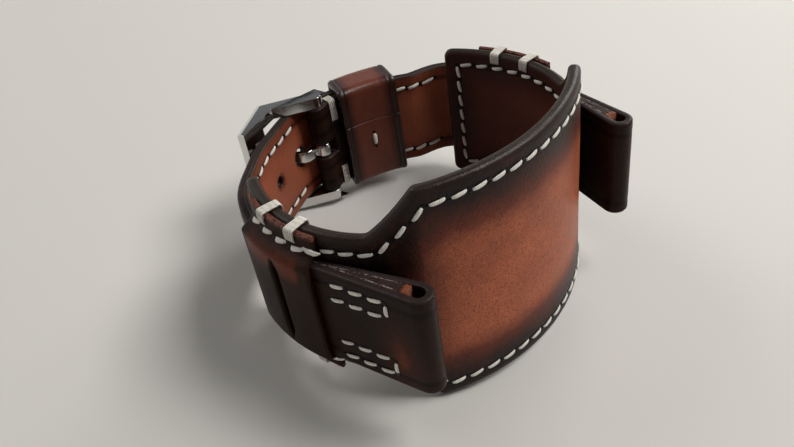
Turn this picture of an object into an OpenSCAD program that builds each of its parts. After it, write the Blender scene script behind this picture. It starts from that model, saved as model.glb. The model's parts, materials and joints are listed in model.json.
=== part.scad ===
// Leather watch strap with a wide pad under the watch.
// The strap is drawn closed, as a ring round an upright axis through the origin.
// Plan angles run from +X, towards +Y where the buckle sits; the watch side is -Y.
// The closed ring is then leaned back until it rests on the pad and the buckle.

/* [Pad] */
// Outside radius of the pad's wings
wing_r = 33.9; // [33.4:0.1:34.4]
// Height of the wings
wing_h = 32.2; // [32:0.2:33]
// Plan angle where the wings end
wing_end = 31.5; // [29:0.5:33]
// Radius of the pad's flatter front
front_r = 43.8; // [42.6:0.2:46]
// Depth of the pad's front from the ring axis
front_depth = 27.8; // [27:0.2:28.8]
// Height of the pad's tall front panel
panel_h = 49.4; // [45:0.2:54]
// Width of the tall panel's top edge
panel_w = 46.6; // [42:0.2:48]
// Width over the lower corners of the notches
notch_w = 59; // [56:0.5:60]
// Outer leather of the pad
pad_leather = 1.4; // [1.2:0.1:1.6]
// Lining of the pad
pad_lining_t = 1; // [0.8:0.1:1.2]

/* [Bands] */
// Leather of the bands that hold the strap on the wings
band_t = 1.2; // [1:0.1:1.4]
// Plan angle of a band's lower end, below +X
band_from = 11; // [9.5:0.5:12]
// Plan angle of a band's upper end
band_to = 18.5; // [17.5:0.5:20]
// Width of the long slot in a band
slot_w = 1.9; // [1:0.1:2.6]
// Length of the long slot in a band
slot_l = 19.6; // [14:0.2:21]
// Plan angle of the slot
slot_at = 2.5; // [1:0.5:6]

/* [Straps] */
// Width of both straps
strap_w = 22; // [21:0.25:22.5]
// Outer leather of the straps
leather = 1.4; // [1.3:0.05:1.5]
// Lining of the straps
lining = 0.8; // [0.7:0.05:0.9]
// Room round a strap where it passes under a band
strap_gap = 0.2; // [0.15:0.05:0.3]
// Inner radius of the strap behind the wrist
back_r = 30.8; // [30.5:0.1:31.1]
// Plan angle of the long strap's tip
tail_tip = 49.5; // [48:0.5:51]
// Length of the long strap's tapered tip
tip_l = 4.5; // [2:0.5:5]
// Radius of the adjusting holes
hole_r = 1.1; // [0.8:0.05:1.3]
// Radius of the hole that the tongue goes through
used_hole_r = 2.0; // [1.95:0.05:2.1]
// Plan angle between holes
hole_step = 15; // [14:0.5:16]

/* [Lug tabs] */
// Sideways place of the bar loops
loop_x = 29.7; // [29.5:0.1:30.1]
// Distance of the bar loops in front of the ring axis
loop_y = 25.7; // [25.2:0.1:26.4]
// Radius of the bar loops' bore
lug_bore_r = 1.25; // [1.05:0.05:1.35]
// Plan angle where a tab leaves the ring, below +X
tab_from = 7.5; // [6.5:0.5:8.5]
// Leather left between the bore and the filler
loop_web = 0.7; // [0.65:0.05:0.85]

/* [Thread] */
// Spacing of the stitches
pitch = 3.8; // [3.4:0.1:4.4]
// Length of one stitch
stitch_l = 3.0; // [2.4:0.1:3.2]
// Width of one stitch
stitch_w = 0.75; // [0.5:0.05:0.85]
// Height of a stitch above the leather
stitch_t = 0.36; // [0.3:0.02:0.4]
// Slant of one stitch
slant = 9; // [0:1:12]
// Distance of the pad's stitch line from its edge
pad_inset = 3.2; // [3:0.1:3.3]
// Distance of a strap's stitch line from its edge
strap_inset = 2.7; // [2.3:0.1:3]
// Strands in one thread wrap of a band
wrap_strands = 7; // [5:1:8]
// Width of one strand
strand_w = 0.44; // [0.36:0.02:0.48]

/* [Buckle] */
// Plan angle of the buckle's bar
bar_at = 88.5; // [88:0.25:89]
// Radius of the spring bar's barrel
barrel_r = 0.9; // [0.85:0.01:0.95]
// Leather round the bar in the strap's fold
fold_t = 1.3; // [1.1:0.05:1.35]
// Thickness of the buckle's arms
arm_t = 2.4; // [1.8:0.1:3]
// Room between the strap's edges and the arms
arm_gap = 0.3; // [0.2:0.05:0.5]
// Thickness of the tongue
tongue_t = 1.3; // [1.1:0.05:1.4]
// Width of the tongue
tongue_w = 2.6; // [2.2:0.1:2.8]
// Height of the fold's slot for the tongue
fold_slot = 3.6; // [3.3:0.1:4.2]

/* [Keeper] */
// Leather of the loose keeper
keeper_t = 1.3; // [1.1:0.1:1.5]
// Plan angle of the keeper's middle
keeper_at = 66.3; // [65.8:0.1:66.6]
// Width of the keeper along the strap
keeper_w = 13.6; // [12:0.2:14]
// Room between the keeper and the stitches that it slides over
keeper_gap = 0.15; // [0.1:0.05:0.2]
// Room between the keeper and the straps' edges
keeper_side = 0.3; // [0.2:0.05:0.4]

/* [Hidden] */
$fn = 64;

strap_t = leather + lining;
pad_t = pad_leather + pad_lining_t;
// Inner radius of the straps on the wings, whose stitches run under them
ride_gap = 0.1;
ride_r = wing_r + stitch_t + ride_gap;
// Room between the two straps where they lie on each other, past the fold's thread
layer_gap = 0.25;
fold_wrap_t = 0.19;
// Room that keeps flat-bottomed stitches and round wraps clear of a curved face
stitch_seat = 0.07;
stitch_lift = 0.02;
wrap_seat = 0.03;
// Long reach, for cutting shapes only
far = 90;
eps = 0.01;

// Points and small sums
function at(r, a) = [r * cos(a), r * sin(a)];
function unit(v) = v / norm(v);
function mix(a, b, t) = a + (b - a) * t;
function smooth(t) = let (u = min(1, max(0, t))) u * u * (3 - 2 * u);
function flip(p) = [-p[0], p[1]];
// Point where the straight line from p meets the rim of a circle of radius r round c;
// it ends a hair inside the rim, so that strip and circle join cleanly
blend_in = 0.01;
function touch(p, c, r, side) =
    let (v = p - c, q = r - blend_in, base = atan2(v[1], v[0]), open = acos(q / norm(v)))
    c + at(q, base + side * open);

// Plan curve of the pad: wings on the ring, two corner arcs and the flatter front
front_y = front_r - front_depth;
corner_r = (pow(front_r, 2) - pow(wing_r, 2) - pow(front_y, 2)) / (2 * (front_r - wing_r));
corner_x = wing_r - corner_r;
corner_a = atan2(front_y, corner_x);
front_len = front_r * (90 - corner_a) * PI / 180;
corner_len = corner_r * corner_a * PI / 180;
wing_len = wing_r * wing_end * PI / 180;
pad_len = front_len + corner_len + wing_len;

// Normal's plan angle and the curve's point, at a distance s from the middle of the front
function pad_normal(s) =
    s < 0 ? 180 - pad_normal(-s) :
    s < front_len ? -90 + s / front_r * 180 / PI :
    s < front_len + corner_len ? -corner_a + (s - front_len) / corner_r * 180 / PI :
    (s - front_len - corner_len) / wing_r * 180 / PI;
function pad_point(s, depth = 0) =
    s < 0 ? flip(pad_point(-s, depth)) :
    let (n = pad_normal(s))
    s < front_len ? [0, front_y] + at(front_r - depth, n) :
    s < front_len + corner_len ? [corner_x, 0] + at(corner_r - depth, n) :
    at(wing_r - depth, n);
// Distance along the curve at which it reaches a sideways place x
function pad_reach(x) =
    x <= front_r * cos(corner_a) ? front_r * asin(x / front_r) * PI / 180 :
    front_len + corner_r * (corner_a - acos((x - corner_x) / corner_r)) * PI / 180;

// Inner radius of the two straps at a plan angle: each comes off its wing in an easy curve
ease_wait = 0.8;
short_ease = 16;
tail_ease = 20;
function short_in(a) = mix(ride_r, back_r, smooth((a - wing_end - ease_wait) / short_ease));
bar_play = 0.05;
fold_r = barrel_r + bar_play + fold_t;
bar_sink = 0.25;
bar_r = back_r + leather + lining / 2 - bar_sink;
tail_back_r = back_r + strap_t + layer_gap;
tail_lift = max(0, bar_r + fold_r + layer_gap - tail_back_r);
lift_before = 12;
lift_after = 24;
function tail_bump(a) =
    let (w = a < bar_at ? lift_before : lift_after, t = (a - bar_at) / w)
    abs(t) < 1 ? tail_lift * pow(cos(90 * t), 2) : 0;
function tail_in(a) =
    mix(ride_r, tail_back_r, smooth((180 - wing_end - ease_wait - a) / tail_ease)) + tail_bump(a);
bar_c = at(bar_r, bar_at);

// Outward direction of a strap's face at a plan angle, and a point at a height over that face
probe = 0.25;
function strap_in(a, is_tail) = is_tail ? tail_in(a) : short_in(a);
function strap_normal(a, is_tail) =
    let (d = at(strap_in(a + probe, is_tail), a + probe) - at(strap_in(a - probe, is_tail), a - probe))
    unit([d[1], -d[0]]);
function strap_point(a, is_tail, lift = 0) =
    at(strap_in(a, is_tail), a) + strap_normal(a, is_tail) * lift;
function tail_point(a, lift = 0) = strap_point(a, true, lift);
function short_point(a, lift = 0) = strap_point(a, false, lift);

// Steps at which a layer's outline is drawn: a length on the pad, an angle on the straps
pad_facet = 1.8;
facet = 2.5;
function sweep(a, b) = let (n = max(1, ceil(abs(b - a) / facet))) [for (i = [0:n]) mix(a, b, i / n)];

// Angles of the strap's edges and ends
tab_a = 180 + tab_from;
fold_a = bar_at - 4.6;
flap_end = keeper_at;
used_hole = bar_at + 11;
// The hole in use is drawn towards the bar by this plan angle
hole_pull = 1.5;
hole_angles = [for (i = [-2:2]) if (i != 0) used_hole + i * hole_step];

// Tab outline corners, on the left: outer and inner ends on the ring, and the loop
loop_r = lug_bore_r + leather;
loop_c = [-loop_x, -loop_y];
tab_out = at(ride_r + strap_t, tab_a);
tab_in = at(ride_r, tab_a);
tab_mid = at(ride_r + lining, tab_a);
loop_out = touch(tab_out, loop_c, loop_r, 1);
loop_in = touch(tab_in, loop_c, loop_r, -1);
tab_dir = unit(loop_out - tab_out);
flap_dir = unit(loop_in - tab_in);
tab_side = [-tab_dir[1], tab_dir[0]];
flap_side = [flap_dir[1], -flap_dir[0]];
// Share of the tab's length at which its filler starts
core_from = 0.1;

// Frame of the buckle, in plan: eye, wrist edge, tip and ridge
frame_in = strap_w / 2 + arm_gap;
frame_half = frame_in + arm_t;
eye_r = 2;
ridge = bar_c + [-9.3, 8];
tip_top = bar_c + [-19.5, 2];
tip_low = bar_c + [-19.1, 0.1];
arm_knee = bar_c + [-9, 3.3];
bar_back = bar_c + [-12.4, 6.15];
bar_low = bar_c + [-12.9, 2.5];
notch_t = 0.4;
notch_side = 0.3;
notch_w2 = tongue_w + 2 * notch_side;

// Tongue, as a bent strip in plan, lying on the front bar's outer face
face_dir = unit(tip_top - bar_back);
face_out = [face_dir[1], -face_dir[0]];
tongue_seat = 0.06;
tongue_rise = face_out * (tongue_t / 2 + tongue_seat - notch_t);
tongue_low = bar_c + [-5.3, 0.55];
tongue_high = bar_c + [-7.25, 4.9];
tongue_root = bar_c + [-1.35, 0.2];
tongue_lead = 2;
tongue_short = 0.6;
tongue_pts = [tongue_root, tongue_low, tongue_high,
              bar_back - face_dir * tongue_lead + tongue_rise,
              tip_top - face_dir * tongue_short + tongue_rise];
tongue_play = 0.08;
knuckle_wall = 0.85;
knuckle_r = barrel_r + tongue_play + knuckle_wall;
knuckle_lip = 0.15;
bend_l = 1.4;

// Spring bar along the ring's axis direction: a barrel with a crimped end and two sprung pins
barrel_short = 1.8;
barrel_half = strap_w / 2 - barrel_short;
barrel_bore = 0.66;
crimp_l = 0.9;
crimp_bore = 0.48;
pin_neck = 0.42;
pin_head = 0.58;
pin_travel = 1.6;
pin_reach = 1.5;
pin_hole_play = 0.05;
pin_hole_floor = 0.3;
head_l = 1.2;
head_room = 0.02;
shoulder_r = 0.65;
shoulder_gap = 0.08;
spring_play = 0.05;
spring_half = barrel_half - crimp_l - head_l - spring_play;
spring_turns = 14;
wire_r = 0.13;
coil_r = 0.48;

// Lean of the closed ring as it lies, and the shift that centres its box
corner_low_y = sqrt(pow(corner_r - pad_t, 2) - pow(panel_w / 2 - corner_x, 2));
lean = atan((panel_h / 2 - frame_half) / (ridge[1] + corner_low_y));
rest_z = ridge[1] * sin(lean) + frame_half * cos(lean);
rest_y = (front_depth - ridge[1]) * cos(lean) / 2 + (panel_h / 2 - frame_half) * sin(lean) / 2;

module at_rest() {
    translate([0, rest_y, rest_z])
        rotate([-lean, 0, 0])
            children();
}

// Places its children on the ring: local X runs along it, Y up and Z outwards
module on_ring(r, a, z = 0) {
    p = at(r, a);
    translate([p[0], p[1], z])
        rotate([90, 0, a + 90])
            children();
}

// The same on the pad's curve, at a distance s from the middle of the front
module on_pad(s, z, depth = 0) {
    p = pad_point(s, depth);
    translate([p[0], p[1], z])
        rotate([90, 0, pad_normal(s) + 90])
            children();
}

module mirrored() {
    mirror([1, 0, 0])
        children();
}

// One stitch lying on the XY plane, turned by its slant
module stitch(turn = 0, l = stitch_l) {
    rotate([0, 0, turn + slant])
        linear_extrude(height = stitch_t)
            union() {
                square([l - stitch_w, stitch_w], center = true);
                translate([(l - stitch_w) / 2, 0])
                    circle(r = stitch_w / 2);
                translate([-(l - stitch_w) / 2, 0])
                    circle(r = stitch_w / 2);
            }
}

// A row of stitches on the pad between two points of its unrolled face
module pad_row(p, q, depth, inward) {
    run = q - p;
    n = max(1, round(norm(run) / pitch));
    turn = atan2(run[1], run[0]);
    for (i = [0:n - 1]) {
        c = p + run * (i + 0.5) / n;
        on_pad(c[0], c[1], depth)
            rotate([inward ? 180 : 0, 0, 0])
                stitch(inward ? -turn : turn);
    }
}

// Places its children on a strap: local X runs along it, Y up and Z outwards
module on_strap(a, is_tail, lift, z) {
    p = strap_point(a, is_tail, lift);
    n = strap_normal(a, is_tail);
    translate([p[0], p[1], z])
        rotate([90, 0, atan2(n[1], n[0]) + 90])
            children();
}

// A row of stitches along a strap at height z, on its inner or its outer face
module strap_row(a0, a1, z, inward, is_tail) {
    mean_r = back_r + strap_t;
    n = max(1, floor(abs(a1 - a0) * PI / 180 * mean_r / pitch));
    for (i = [0:n - 1])
        on_strap(mix(a0, a1, (i + 0.5) / n), is_tail, inward ? -stitch_seat : strap_t + stitch_lift, z)
            rotate([inward ? 180 : 0, 0, 0])
                stitch();
}

// One layer of the pad in plan, from its depth under the outer face
module pad_plan(depth, t) {
    n = ceil(pad_len / pad_facet);
    run = [for (i = [-n:n]) pad_len * i / n];
    outer = [for (s = run) pad_point(s, depth)];
    inner = [for (i = [2 * n:-1:0]) pad_point(run[i], depth + t)];
    polygon(concat(outer, inner));
}

// Corner cut away above a wing, seen from the front: the tall panel steps down along its slope
notch_past = 1.5;
module notch_view() {
    foot = [notch_w / 2, wing_h / 2];
    head = [panel_w / 2, panel_h / 2];
    polygon([foot, [far, foot[1]], [far, far], foot + (head - foot) * notch_past]);
}

module pad_layer(depth, t) {
    difference() {
        translate([0, 0, -panel_h / 2])
            linear_extrude(height = panel_h)
                pad_plan(depth, t);
        for (up = [0, 1])
            mirror([0, 0, up]) {
                for (side = [0, 1])
                    mirror([side, 0, 0])
                        rotate([90, 0, 0])
                            linear_extrude(height = far)
                                notch_view();
                translate([-far, -eps, wing_h / 2])
                    cube([2 * far, far, far]);
            }
    }
}

// Length along the pad at a plan angle beside the wing's start
function pad_length_at(a) =
    a >= 0 ? front_len + corner_len + wing_r * a * PI / 180
           : front_len + corner_len
             + corner_r * (a + asin(corner_x * sin(a) / corner_r)) * PI / 180;

// Shares of the inset by which the rows turn in beside the slope's two corners
turn_in_low = 0.45;
turn_in_top = 0.55;

// Perimeter stitching on one face of the pad; the outer wing rows stop at the bands
module pad_thread(depth, inward) {
    end_s = pad_len - pad_inset;
    low_z = wing_h / 2 - pad_inset;
    top_z = panel_h / 2 - pad_inset;
    low_s = pad_reach(notch_w / 2) - pad_inset * turn_in_low;
    top_s = pad_reach(panel_w / 2) - pad_inset * turn_in_top;
    for (side = [-1, 1]) {
        for (up = [-1, 1]) {
            wing_stops = inward ? [[low_s, end_s]]
                : [[low_s, pad_length_at(-band_from)], [pad_length_at(band_to), end_s]];
            for (stops = wing_stops)
                pad_row([side * stops[0], up * low_z], [side * stops[1], up * low_z], depth, inward);
            pad_row([side * top_s, up * top_z], [side * low_s, up * low_z], depth, inward);
        }
        pad_row([side * end_s, -low_z], [side * end_s, low_z], depth, inward);
    }
    for (up = [-1, 1])
        pad_row([-top_s, up * top_z], [top_s, up * top_z], depth, inward);
}

ring_fn = 180;
// Section of a band: glued edges on the wing and a raised middle over the strap
band_in_z = strap_w / 2 + strap_gap;
band_ramp = 0.6;
band_ramp_out = 0.4;
band_bend = 0.4;
band_low_r = wing_r + band_t;
band_r = ride_r + strap_t + strap_gap;
module band_section() {
    inner = [[wing_r, wing_h / 2], [wing_r, band_in_z + band_ramp], [band_r, band_in_z]];
    outer = [[band_r + band_t, band_in_z + band_bend],
             [band_low_r, band_in_z + band_ramp + band_ramp_out],
             [band_low_r, wing_h / 2]];
    inner_low = [for (i = [2:-1:0]) [inner[i][0], -inner[i][1]]];
    outer_low = [for (i = [2:-1:0]) [outer[i][0], -outer[i][1]]];
    polygon(concat(inner, inner_low, outer_low, outer));
}

// Row of stitches through a band's glued edge, between two plan angles
module band_row(left, z) {
    n = round((band_from + band_to) * PI / 180 * band_low_r / pitch);
    for (i = [0:n - 1]) {
        a = mix(-band_from, band_to, (i + 0.5) / n);
        on_ring(band_low_r + stitch_lift, left ? 180 - a : a, z)
            stitch();
    }
}

slot_point = 1.2;
module slot_outline() {
    half = slot_l / 2;
    point = slot_w * slot_point;
    polygon([[0, half], [slot_w / 2, half - point], [slot_w / 2, -half + point], [0, -half],
             [-slot_w / 2, -half + point], [-slot_w / 2, half - point]]);
}

module band() {
    difference() {
        rotate([0, 0, -band_from])
            rotate_extrude(angle = band_from + band_to, $fn = ring_fn)
                band_section();
        on_ring(ride_r, slot_at)
            linear_extrude(height = far - ride_r)
                slot_outline();
    }
}

// Thread wraps over a band's edge: each strand is bent over wing and band
wrap_leg = 2.3;
wrap_angles = [-3.2, 10];
strand_space = 0.03;
wrap_t = 0.42;
wrap_back = 0.12;
module band_wraps() {
    strand = strand_w / wing_r * 180 / PI;
    step = (strand_w + strand_space) / wing_r * 180 / PI;
    for (up = [0, 1])
        mirror([0, 0, up])
            for (mid = wrap_angles)
                for (i = [0:wrap_strands - 1])
                    rotate([0, 0, mid + (i - wrap_strands / 2) * step])
                        rotate_extrude(angle = strand, $fn = ring_fn)
                            wrap_section();
}

module wrap_section() {
    inside = wing_r - pad_t - wrap_back;
    outside = band_low_r + wrap_seat;
    top = wing_h / 2;
    polygon([[inside - wrap_t, top - wrap_leg], [inside - wrap_t, top + wrap_t / 2],
             [inside, top + wrap_t], [outside, top + wrap_t],
             [outside + wrap_t, top + wrap_t / 2], [outside + wrap_t, top - wrap_leg],
             [outside, top - wrap_leg], [outside, top], [inside, top],
             [inside, top - wrap_leg]]);
}

// Filler wedge of a tab in plan, between its outer leather and its folded end
module tab_core_plan() {
    outer_end = loop_out + tab_side * leather;
    inner_end = loop_in + flap_side * lining;
    apex = mix(tab_mid, mix(outer_end, inner_end, 0.5), core_from);
    difference() {
        polygon([apex, outer_end, loop_c, inner_end]);
        circle_at(loop_c, lug_bore_r + loop_web);
    }
}

module circle_at(c, r) {
    translate(c)
        circle(r = r);
}

// Long strap, outer leather in plan: the strip, its tab and the loop round the lug bar
module tail_outer_plan() {
    run = sweep(tail_tip, tab_a);
    outer = [for (a = run) tail_point(a, strap_t)];
    inner = [for (i = [len(run) - 1:-1:0]) tail_point(run[i], lining)];
    difference() {
        union() {
            polygon(concat(outer, [loop_out, loop_c, loop_in, tab_in], inner));
            circle_at(loop_c, loop_r);
        }
        tab_core_plan();
        circle_at(loop_c, lug_bore_r);
    }
}

module tail_lining_plan() {
    run = sweep(tail_tip, tab_a);
    outer = [for (a = run) tail_point(a, lining)];
    inner = [for (i = [len(run) - 1:-1:0]) tail_point(run[i])];
    polygon(concat(outer, inner));
}

// Corners that the long strap's tip loses, and the depth of cuts through a strap
cut_margin = 3;
tip_nose = 4.4;
tip_bow = 2.2;
tip_bow_at = 0.45;
tip_over = 0.6;
module tip_cuts() {
    for (up = [0, 1])
        mirror([0, 0, up])
            on_ring(back_r - cut_margin, tail_tip)
                linear_extrude(height = cut_deep)
                    polygon([[-cut_margin, strap_w / 2 + cut_margin],
                             [tip_l + cut_margin / 2, strap_w / 2 + cut_margin],
                             [tip_l * tip_bow_at, strap_w / 2 - tip_bow], [-tip_over, tip_nose],
                             [-cut_margin, tip_nose]]);
}

cut_deep = strap_t * 3 + tail_lift + 2 * cut_margin;
module tail_holes() {
    for (a = hole_angles)
        on_ring(back_r - cut_margin, a)
            cylinder(r = hole_r, h = cut_deep);
    on_ring(back_r - cut_margin, used_hole - hole_pull)
        cylinder(r = used_hole_r, h = cut_deep);
}

module tail_layer() {
    difference() {
        translate([0, 0, -strap_w / 2])
            linear_extrude(height = strap_w)
                children();
        tip_cuts();
        tail_holes();
    }
}

// Buckle strap, outer leather in plan: tab, strip, fold round the bar and the flap behind it
module short_outer_plan() {
    run = sweep(-tab_from, fold_a);
    back = sweep(fold_a, flap_end);
    under = sweep(flap_end, -tab_from);
    outer = [for (a = run) short_point(a, strap_t)];
    fold_out = touch(outer[len(outer) - 1], bar_c, fold_r, 1);
    flap = [for (a = back) short_point(a)];
    fold_in = touch(flap[0], bar_c, fold_r, -1);
    inner = [for (a = under) short_point(a, lining)];
    difference() {
        union() {
            polygon(concat([flip(tab_in), flip(loop_in), flip(loop_c), flip(loop_out)], outer,
                           [fold_out, bar_c, fold_in], flap, inner));
            circle_at(bar_c, fold_r);
            circle_at(flip(loop_c), loop_r);
        }
        mirror([1, 0])
            tab_core_plan();
        circle_at(flip(loop_c), lug_bore_r);
        circle_at(bar_c, barrel_r + bar_play);
    }
}

module short_lining_plan() {
    run = sweep(flap_end, -tab_from);
    outer = [for (a = run) short_point(a, lining)];
    inner = [for (i = [len(run) - 1:-1:0]) short_point(run[i])];
    polygon(concat(outer, inner));
}

// Slot through the fold, for the tongue
fold_slot_back = 1.2;
module fold_slot_cut() {
    on_ring(back_r - cut_margin, bar_at)
        linear_extrude(height = cut_deep)
            union() {
                translate([-fold_slot_back, -fold_slot / 2])
                    square([fold_slot_back + 2 * fold_r, fold_slot]);
                translate([-fold_slot_back, 0])
                    circle(r = fold_slot / 2);
            }
}

module full_width() {
    translate([0, 0, -strap_w / 2])
        linear_extrude(height = strap_w)
            children();
}

// Box stitching on a tab's outer face, open towards the band
box_inset = 2.4;
box_w = 3.4;
box_from_loop = 5.2;
box_end = 0.3;
box_count = 3;
module tab_thread() {
    outer_z = strap_w / 2 - box_inset;
    length = norm(loop_out - tab_out);
    facing = atan2(tab_dir[1], tab_dir[0]) - 90;
    for (up = [-1, 1]) {
        for (z = [outer_z, outer_z - box_w])
            for (i = [0:box_count - 1])
                tab_stitch(length - box_from_loop - (i + 0.5) * pitch, up * z, facing, 0, stitch_l);
        tab_stitch(length - box_from_loop + box_end, up * (outer_z - box_w / 2), facing, 90,
                   box_w - stitch_w);
    }
}

module tab_stitch(along, z, facing, turn, l) {
    p = tab_out + tab_dir * along;
    translate([p[0], p[1], z])
        rotate([90, 0, facing + 90])
            stitch(turn, l);
}

keeper_low_r = back_r - stitch_seat - stitch_t - keeper_gap;
keeper_bend = 0.3;
module keeper_section() {
    low_r = keeper_low_r;
    high_r = tail_back_r + strap_t + stitch_lift + stitch_t + keeper_gap;
    half = strap_w / 2 + keeper_side;
    round_r = keeper_t + keeper_bend;
    difference() {
        union() {
            translate([low_r - keeper_t + round_r, -half - keeper_t])
                square([high_r - low_r + 2 * (keeper_t - round_r), 2 * (half + keeper_t)]);
            translate([low_r - keeper_t, -half - keeper_t + round_r])
                square([high_r - low_r + 2 * keeper_t, 2 * (half + keeper_t - round_r)]);
            for (x = [low_r - keeper_t + round_r, high_r + keeper_t - round_r])
                for (y = [-1, 1])
                    circle_at([x, y * (half + keeper_t - round_r)], round_r);
        }
        translate([low_r, -half])
            square([high_r - low_r, 2 * half]);
    }
}

// Plan outline of a buckle arm
module arm_plan() {
    top = touch(ridge, bar_c, eye_r, -1);
    low = touch(arm_knee, bar_c, eye_r, 1);
    union() {
        polygon([top, ridge, tip_top, tip_low, arm_knee, low, bar_c]);
        circle_at(bar_c, eye_r);
    }
}

bend_share = 0.45;
// Bends of a path eased into short curves, and a path's side normal at point i
function toward(p, q) = p + unit(q - p) * min(bend_l, norm(q - p) * bend_share);
function eased(path) =
    let (last = len(path) - 1)
    concat([path[0]],
           [for (i = [1:last - 1]) for (t = [0:0.25:1])
               let (p = toward(path[i], path[i - 1]), q = toward(path[i], path[i + 1]))
               mix(mix(p, path[i], t), mix(path[i], q, t), t)],
           [path[last]]);
function path_side(path, i) =
    let (d = path[min(i + 1, len(path) - 1)] - path[max(i - 1, 0)])
    unit([-d[1], d[0]]);

module tongue_plan() {
    path = eased(tongue_pts);
    last = len(path) - 1;
    left = [for (i = [0:last]) path[i] + path_side(path, i) * tongue_t / 2];
    right = [for (i = [last:-1:0]) path[i] - path_side(path, i) * tongue_t / 2];
    polygon(concat(left, right));
}

// Helix of the bar's spring, swept as one tube with six sides
module spring_coil() {
    steps = 12;
    sides = 6;
    count = spring_turns * steps;
    rise = (spring_half - wire_r) * 2;
    pts = [for (i = [0:count]) for (j = [0:sides - 1])
        let (a = i * 360 / steps, b = j * 360 / sides, r = coil_r + wire_r * cos(b))
        [r * cos(a), r * sin(a), -rise / 2 + rise * i / count + wire_r * sin(b)]];
    walls = [for (i = [0:count - 1]) for (j = [0:sides - 1])
        let (p = i * sides + j, q = i * sides + (j + 1) % sides)
        each [[p, p + sides, q], [q, p + sides, q + sides]]];
    first = [for (j = [1:sides - 2]) [0, j, j + 1]];
    last = [for (j = [1:sides - 2]) [count * sides, count * sides + j + 1, count * sides + j]];
    polyhedron(points = pts, faces = concat(walls, first, last));
}

module pin() {
    neck_from = barrel_half - crimp_l - head_l;
    shoulder_from = barrel_half + pin_travel + shoulder_gap;
    translate([0, 0, neck_from])
        cylinder(r = pin_head, h = head_l - head_room);
    translate([0, 0, neck_from])
        cylinder(r = pin_neck, h = frame_in + pin_reach - neck_from);
    translate([0, 0, shoulder_from])
        cylinder(r = shoulder_r, h = frame_in - shoulder_gap - shoulder_from);
}

module pad_outer() {
    color("saddlebrown")
        at_rest()
            pad_layer(0, pad_leather);
}

module pad_lining() {
    color("sienna")
        at_rest()
            pad_layer(pad_leather, pad_lining_t);
}

module pad_stitching() {
    color("ivory")
        at_rest() {
            pad_thread(0, false);
            pad_thread(pad_t + stitch_seat, true);
            for (left = [true, false])
                for (up = [-1, 1])
                    band_row(left, up * (wing_h / 2 - pad_inset));
        }
}

module left_band() {
    color("#3a1d14")
        at_rest()
            mirrored()
                band();
}

module right_band() {
    color("#3a1d14")
        at_rest()
            band();
}

module left_band_wraps() {
    color("white")
        at_rest()
            mirrored()
                band_wraps();
}

module right_band_wraps() {
    color("white")
        at_rest()
            band_wraps();
}

module tail_outer() {
    color("#4a2415")
        at_rest()
            tail_layer()
                tail_outer_plan();
}

module tail_lining() {
    color("#8a4526")
        at_rest()
            tail_layer()
                tail_lining_plan();
}

module tail_core() {
    color("peru")
        at_rest()
            full_width()
                tab_core_plan();
}

// Height of the strap rows, and the plan angles that stay free beside a band, wing, fold or end
strap_row_z = strap_w / 2 - strap_inset;
band_free = 3;
wing_free = 5;
fold_free = 10;
tip_free = 8;
module tail_stitching() {
    color("ivory")
        at_rest()
            for (z = [-strap_row_z, strap_row_z]) {
                strap_row(bar_at + fold_free, 180 - wing_end - wing_free, z, true, true);
                strap_row(tail_tip + tip_free, 180 - band_to - band_free, z, false, true);
            }
}

module tail_tab_stitching() {
    color("ivory")
        at_rest()
            tab_thread();
}

module buckle_strap_outer() {
    color("#4a2415")
        at_rest()
            difference() {
                full_width()
                    short_outer_plan();
                fold_slot_cut();
            }
}

module buckle_strap_lining() {
    color("#8a4526")
        at_rest()
            full_width()
                short_lining_plan();
}

module buckle_strap_core() {
    color("peru")
        at_rest()
            mirrored()
                full_width()
                    tab_core_plan();
}

module buckle_strap_stitching() {
    color("ivory")
        at_rest()
            for (z = [-strap_row_z, strap_row_z]) {
                strap_row(wing_end + wing_free, fold_a - 2 * band_free, z, true, false);
                strap_row(band_to + band_free, wing_end + ease_wait + short_ease / 2, z, false, false);
            }
}

module buckle_strap_tab_stitching() {
    color("ivory")
        at_rest()
            mirrored()
                tab_thread();
}

// Thread wound over the strap's edges beside the fold
fold_wrap_count = 4;
fold_wrap_end = 0.3;
fold_wrap_leg = 4.6;
module fold_wraps() {
    strand = strand_w / back_r * 180 / PI;
    step = (strand_w + strand_space) / back_r * 180 / PI;
    color("white")
        at_rest()
            for (up = [0, 1])
                mirror([0, 0, up])
                    for (i = [1:fold_wrap_count])
                        rotate([0, 0, fold_a - i * step - fold_wrap_end])
                            rotate_extrude(angle = strand, $fn = ring_fn)
                                fold_wrap_section();
}

module fold_wrap_section() {
    inside = back_r - wrap_seat;
    outside = back_r + strap_t + stitch_lift;
    top = strap_w / 2;
    polygon([[inside - fold_wrap_t, top - fold_wrap_leg], [inside - fold_wrap_t, top + fold_wrap_t],
             [outside + fold_wrap_t, top + fold_wrap_t],
             [outside + fold_wrap_t, top - fold_wrap_leg],
             [outside, top - fold_wrap_leg], [outside, top], [inside, top],
             [inside, top - fold_wrap_leg]]);
}

// The keeper keeps one width, so a straight slab trims a longer turned loop
keeper_turn = 50;
seam_z = 3.4;
seam_w = 0.24;
seam_deep = 0.45;
module keeper_loop() {
    color("#5a2818")
        at_rest()
            rotate([0, 0, keeper_at])
                difference() {
                    intersection() {
                        rotate([0, 0, -keeper_turn / 2])
                            rotate_extrude(angle = keeper_turn, $fn = ring_fn)
                                keeper_section();
                        translate([0, -keeper_w / 2, -far / 2])
                            cube([far, keeper_w, far]);
                    }
                    translate([keeper_low_r - keeper_t - cut_margin, -far / 2, seam_z - seam_w / 2])
                        cube([cut_margin + seam_deep, far, seam_w]);
                }
}

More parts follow.
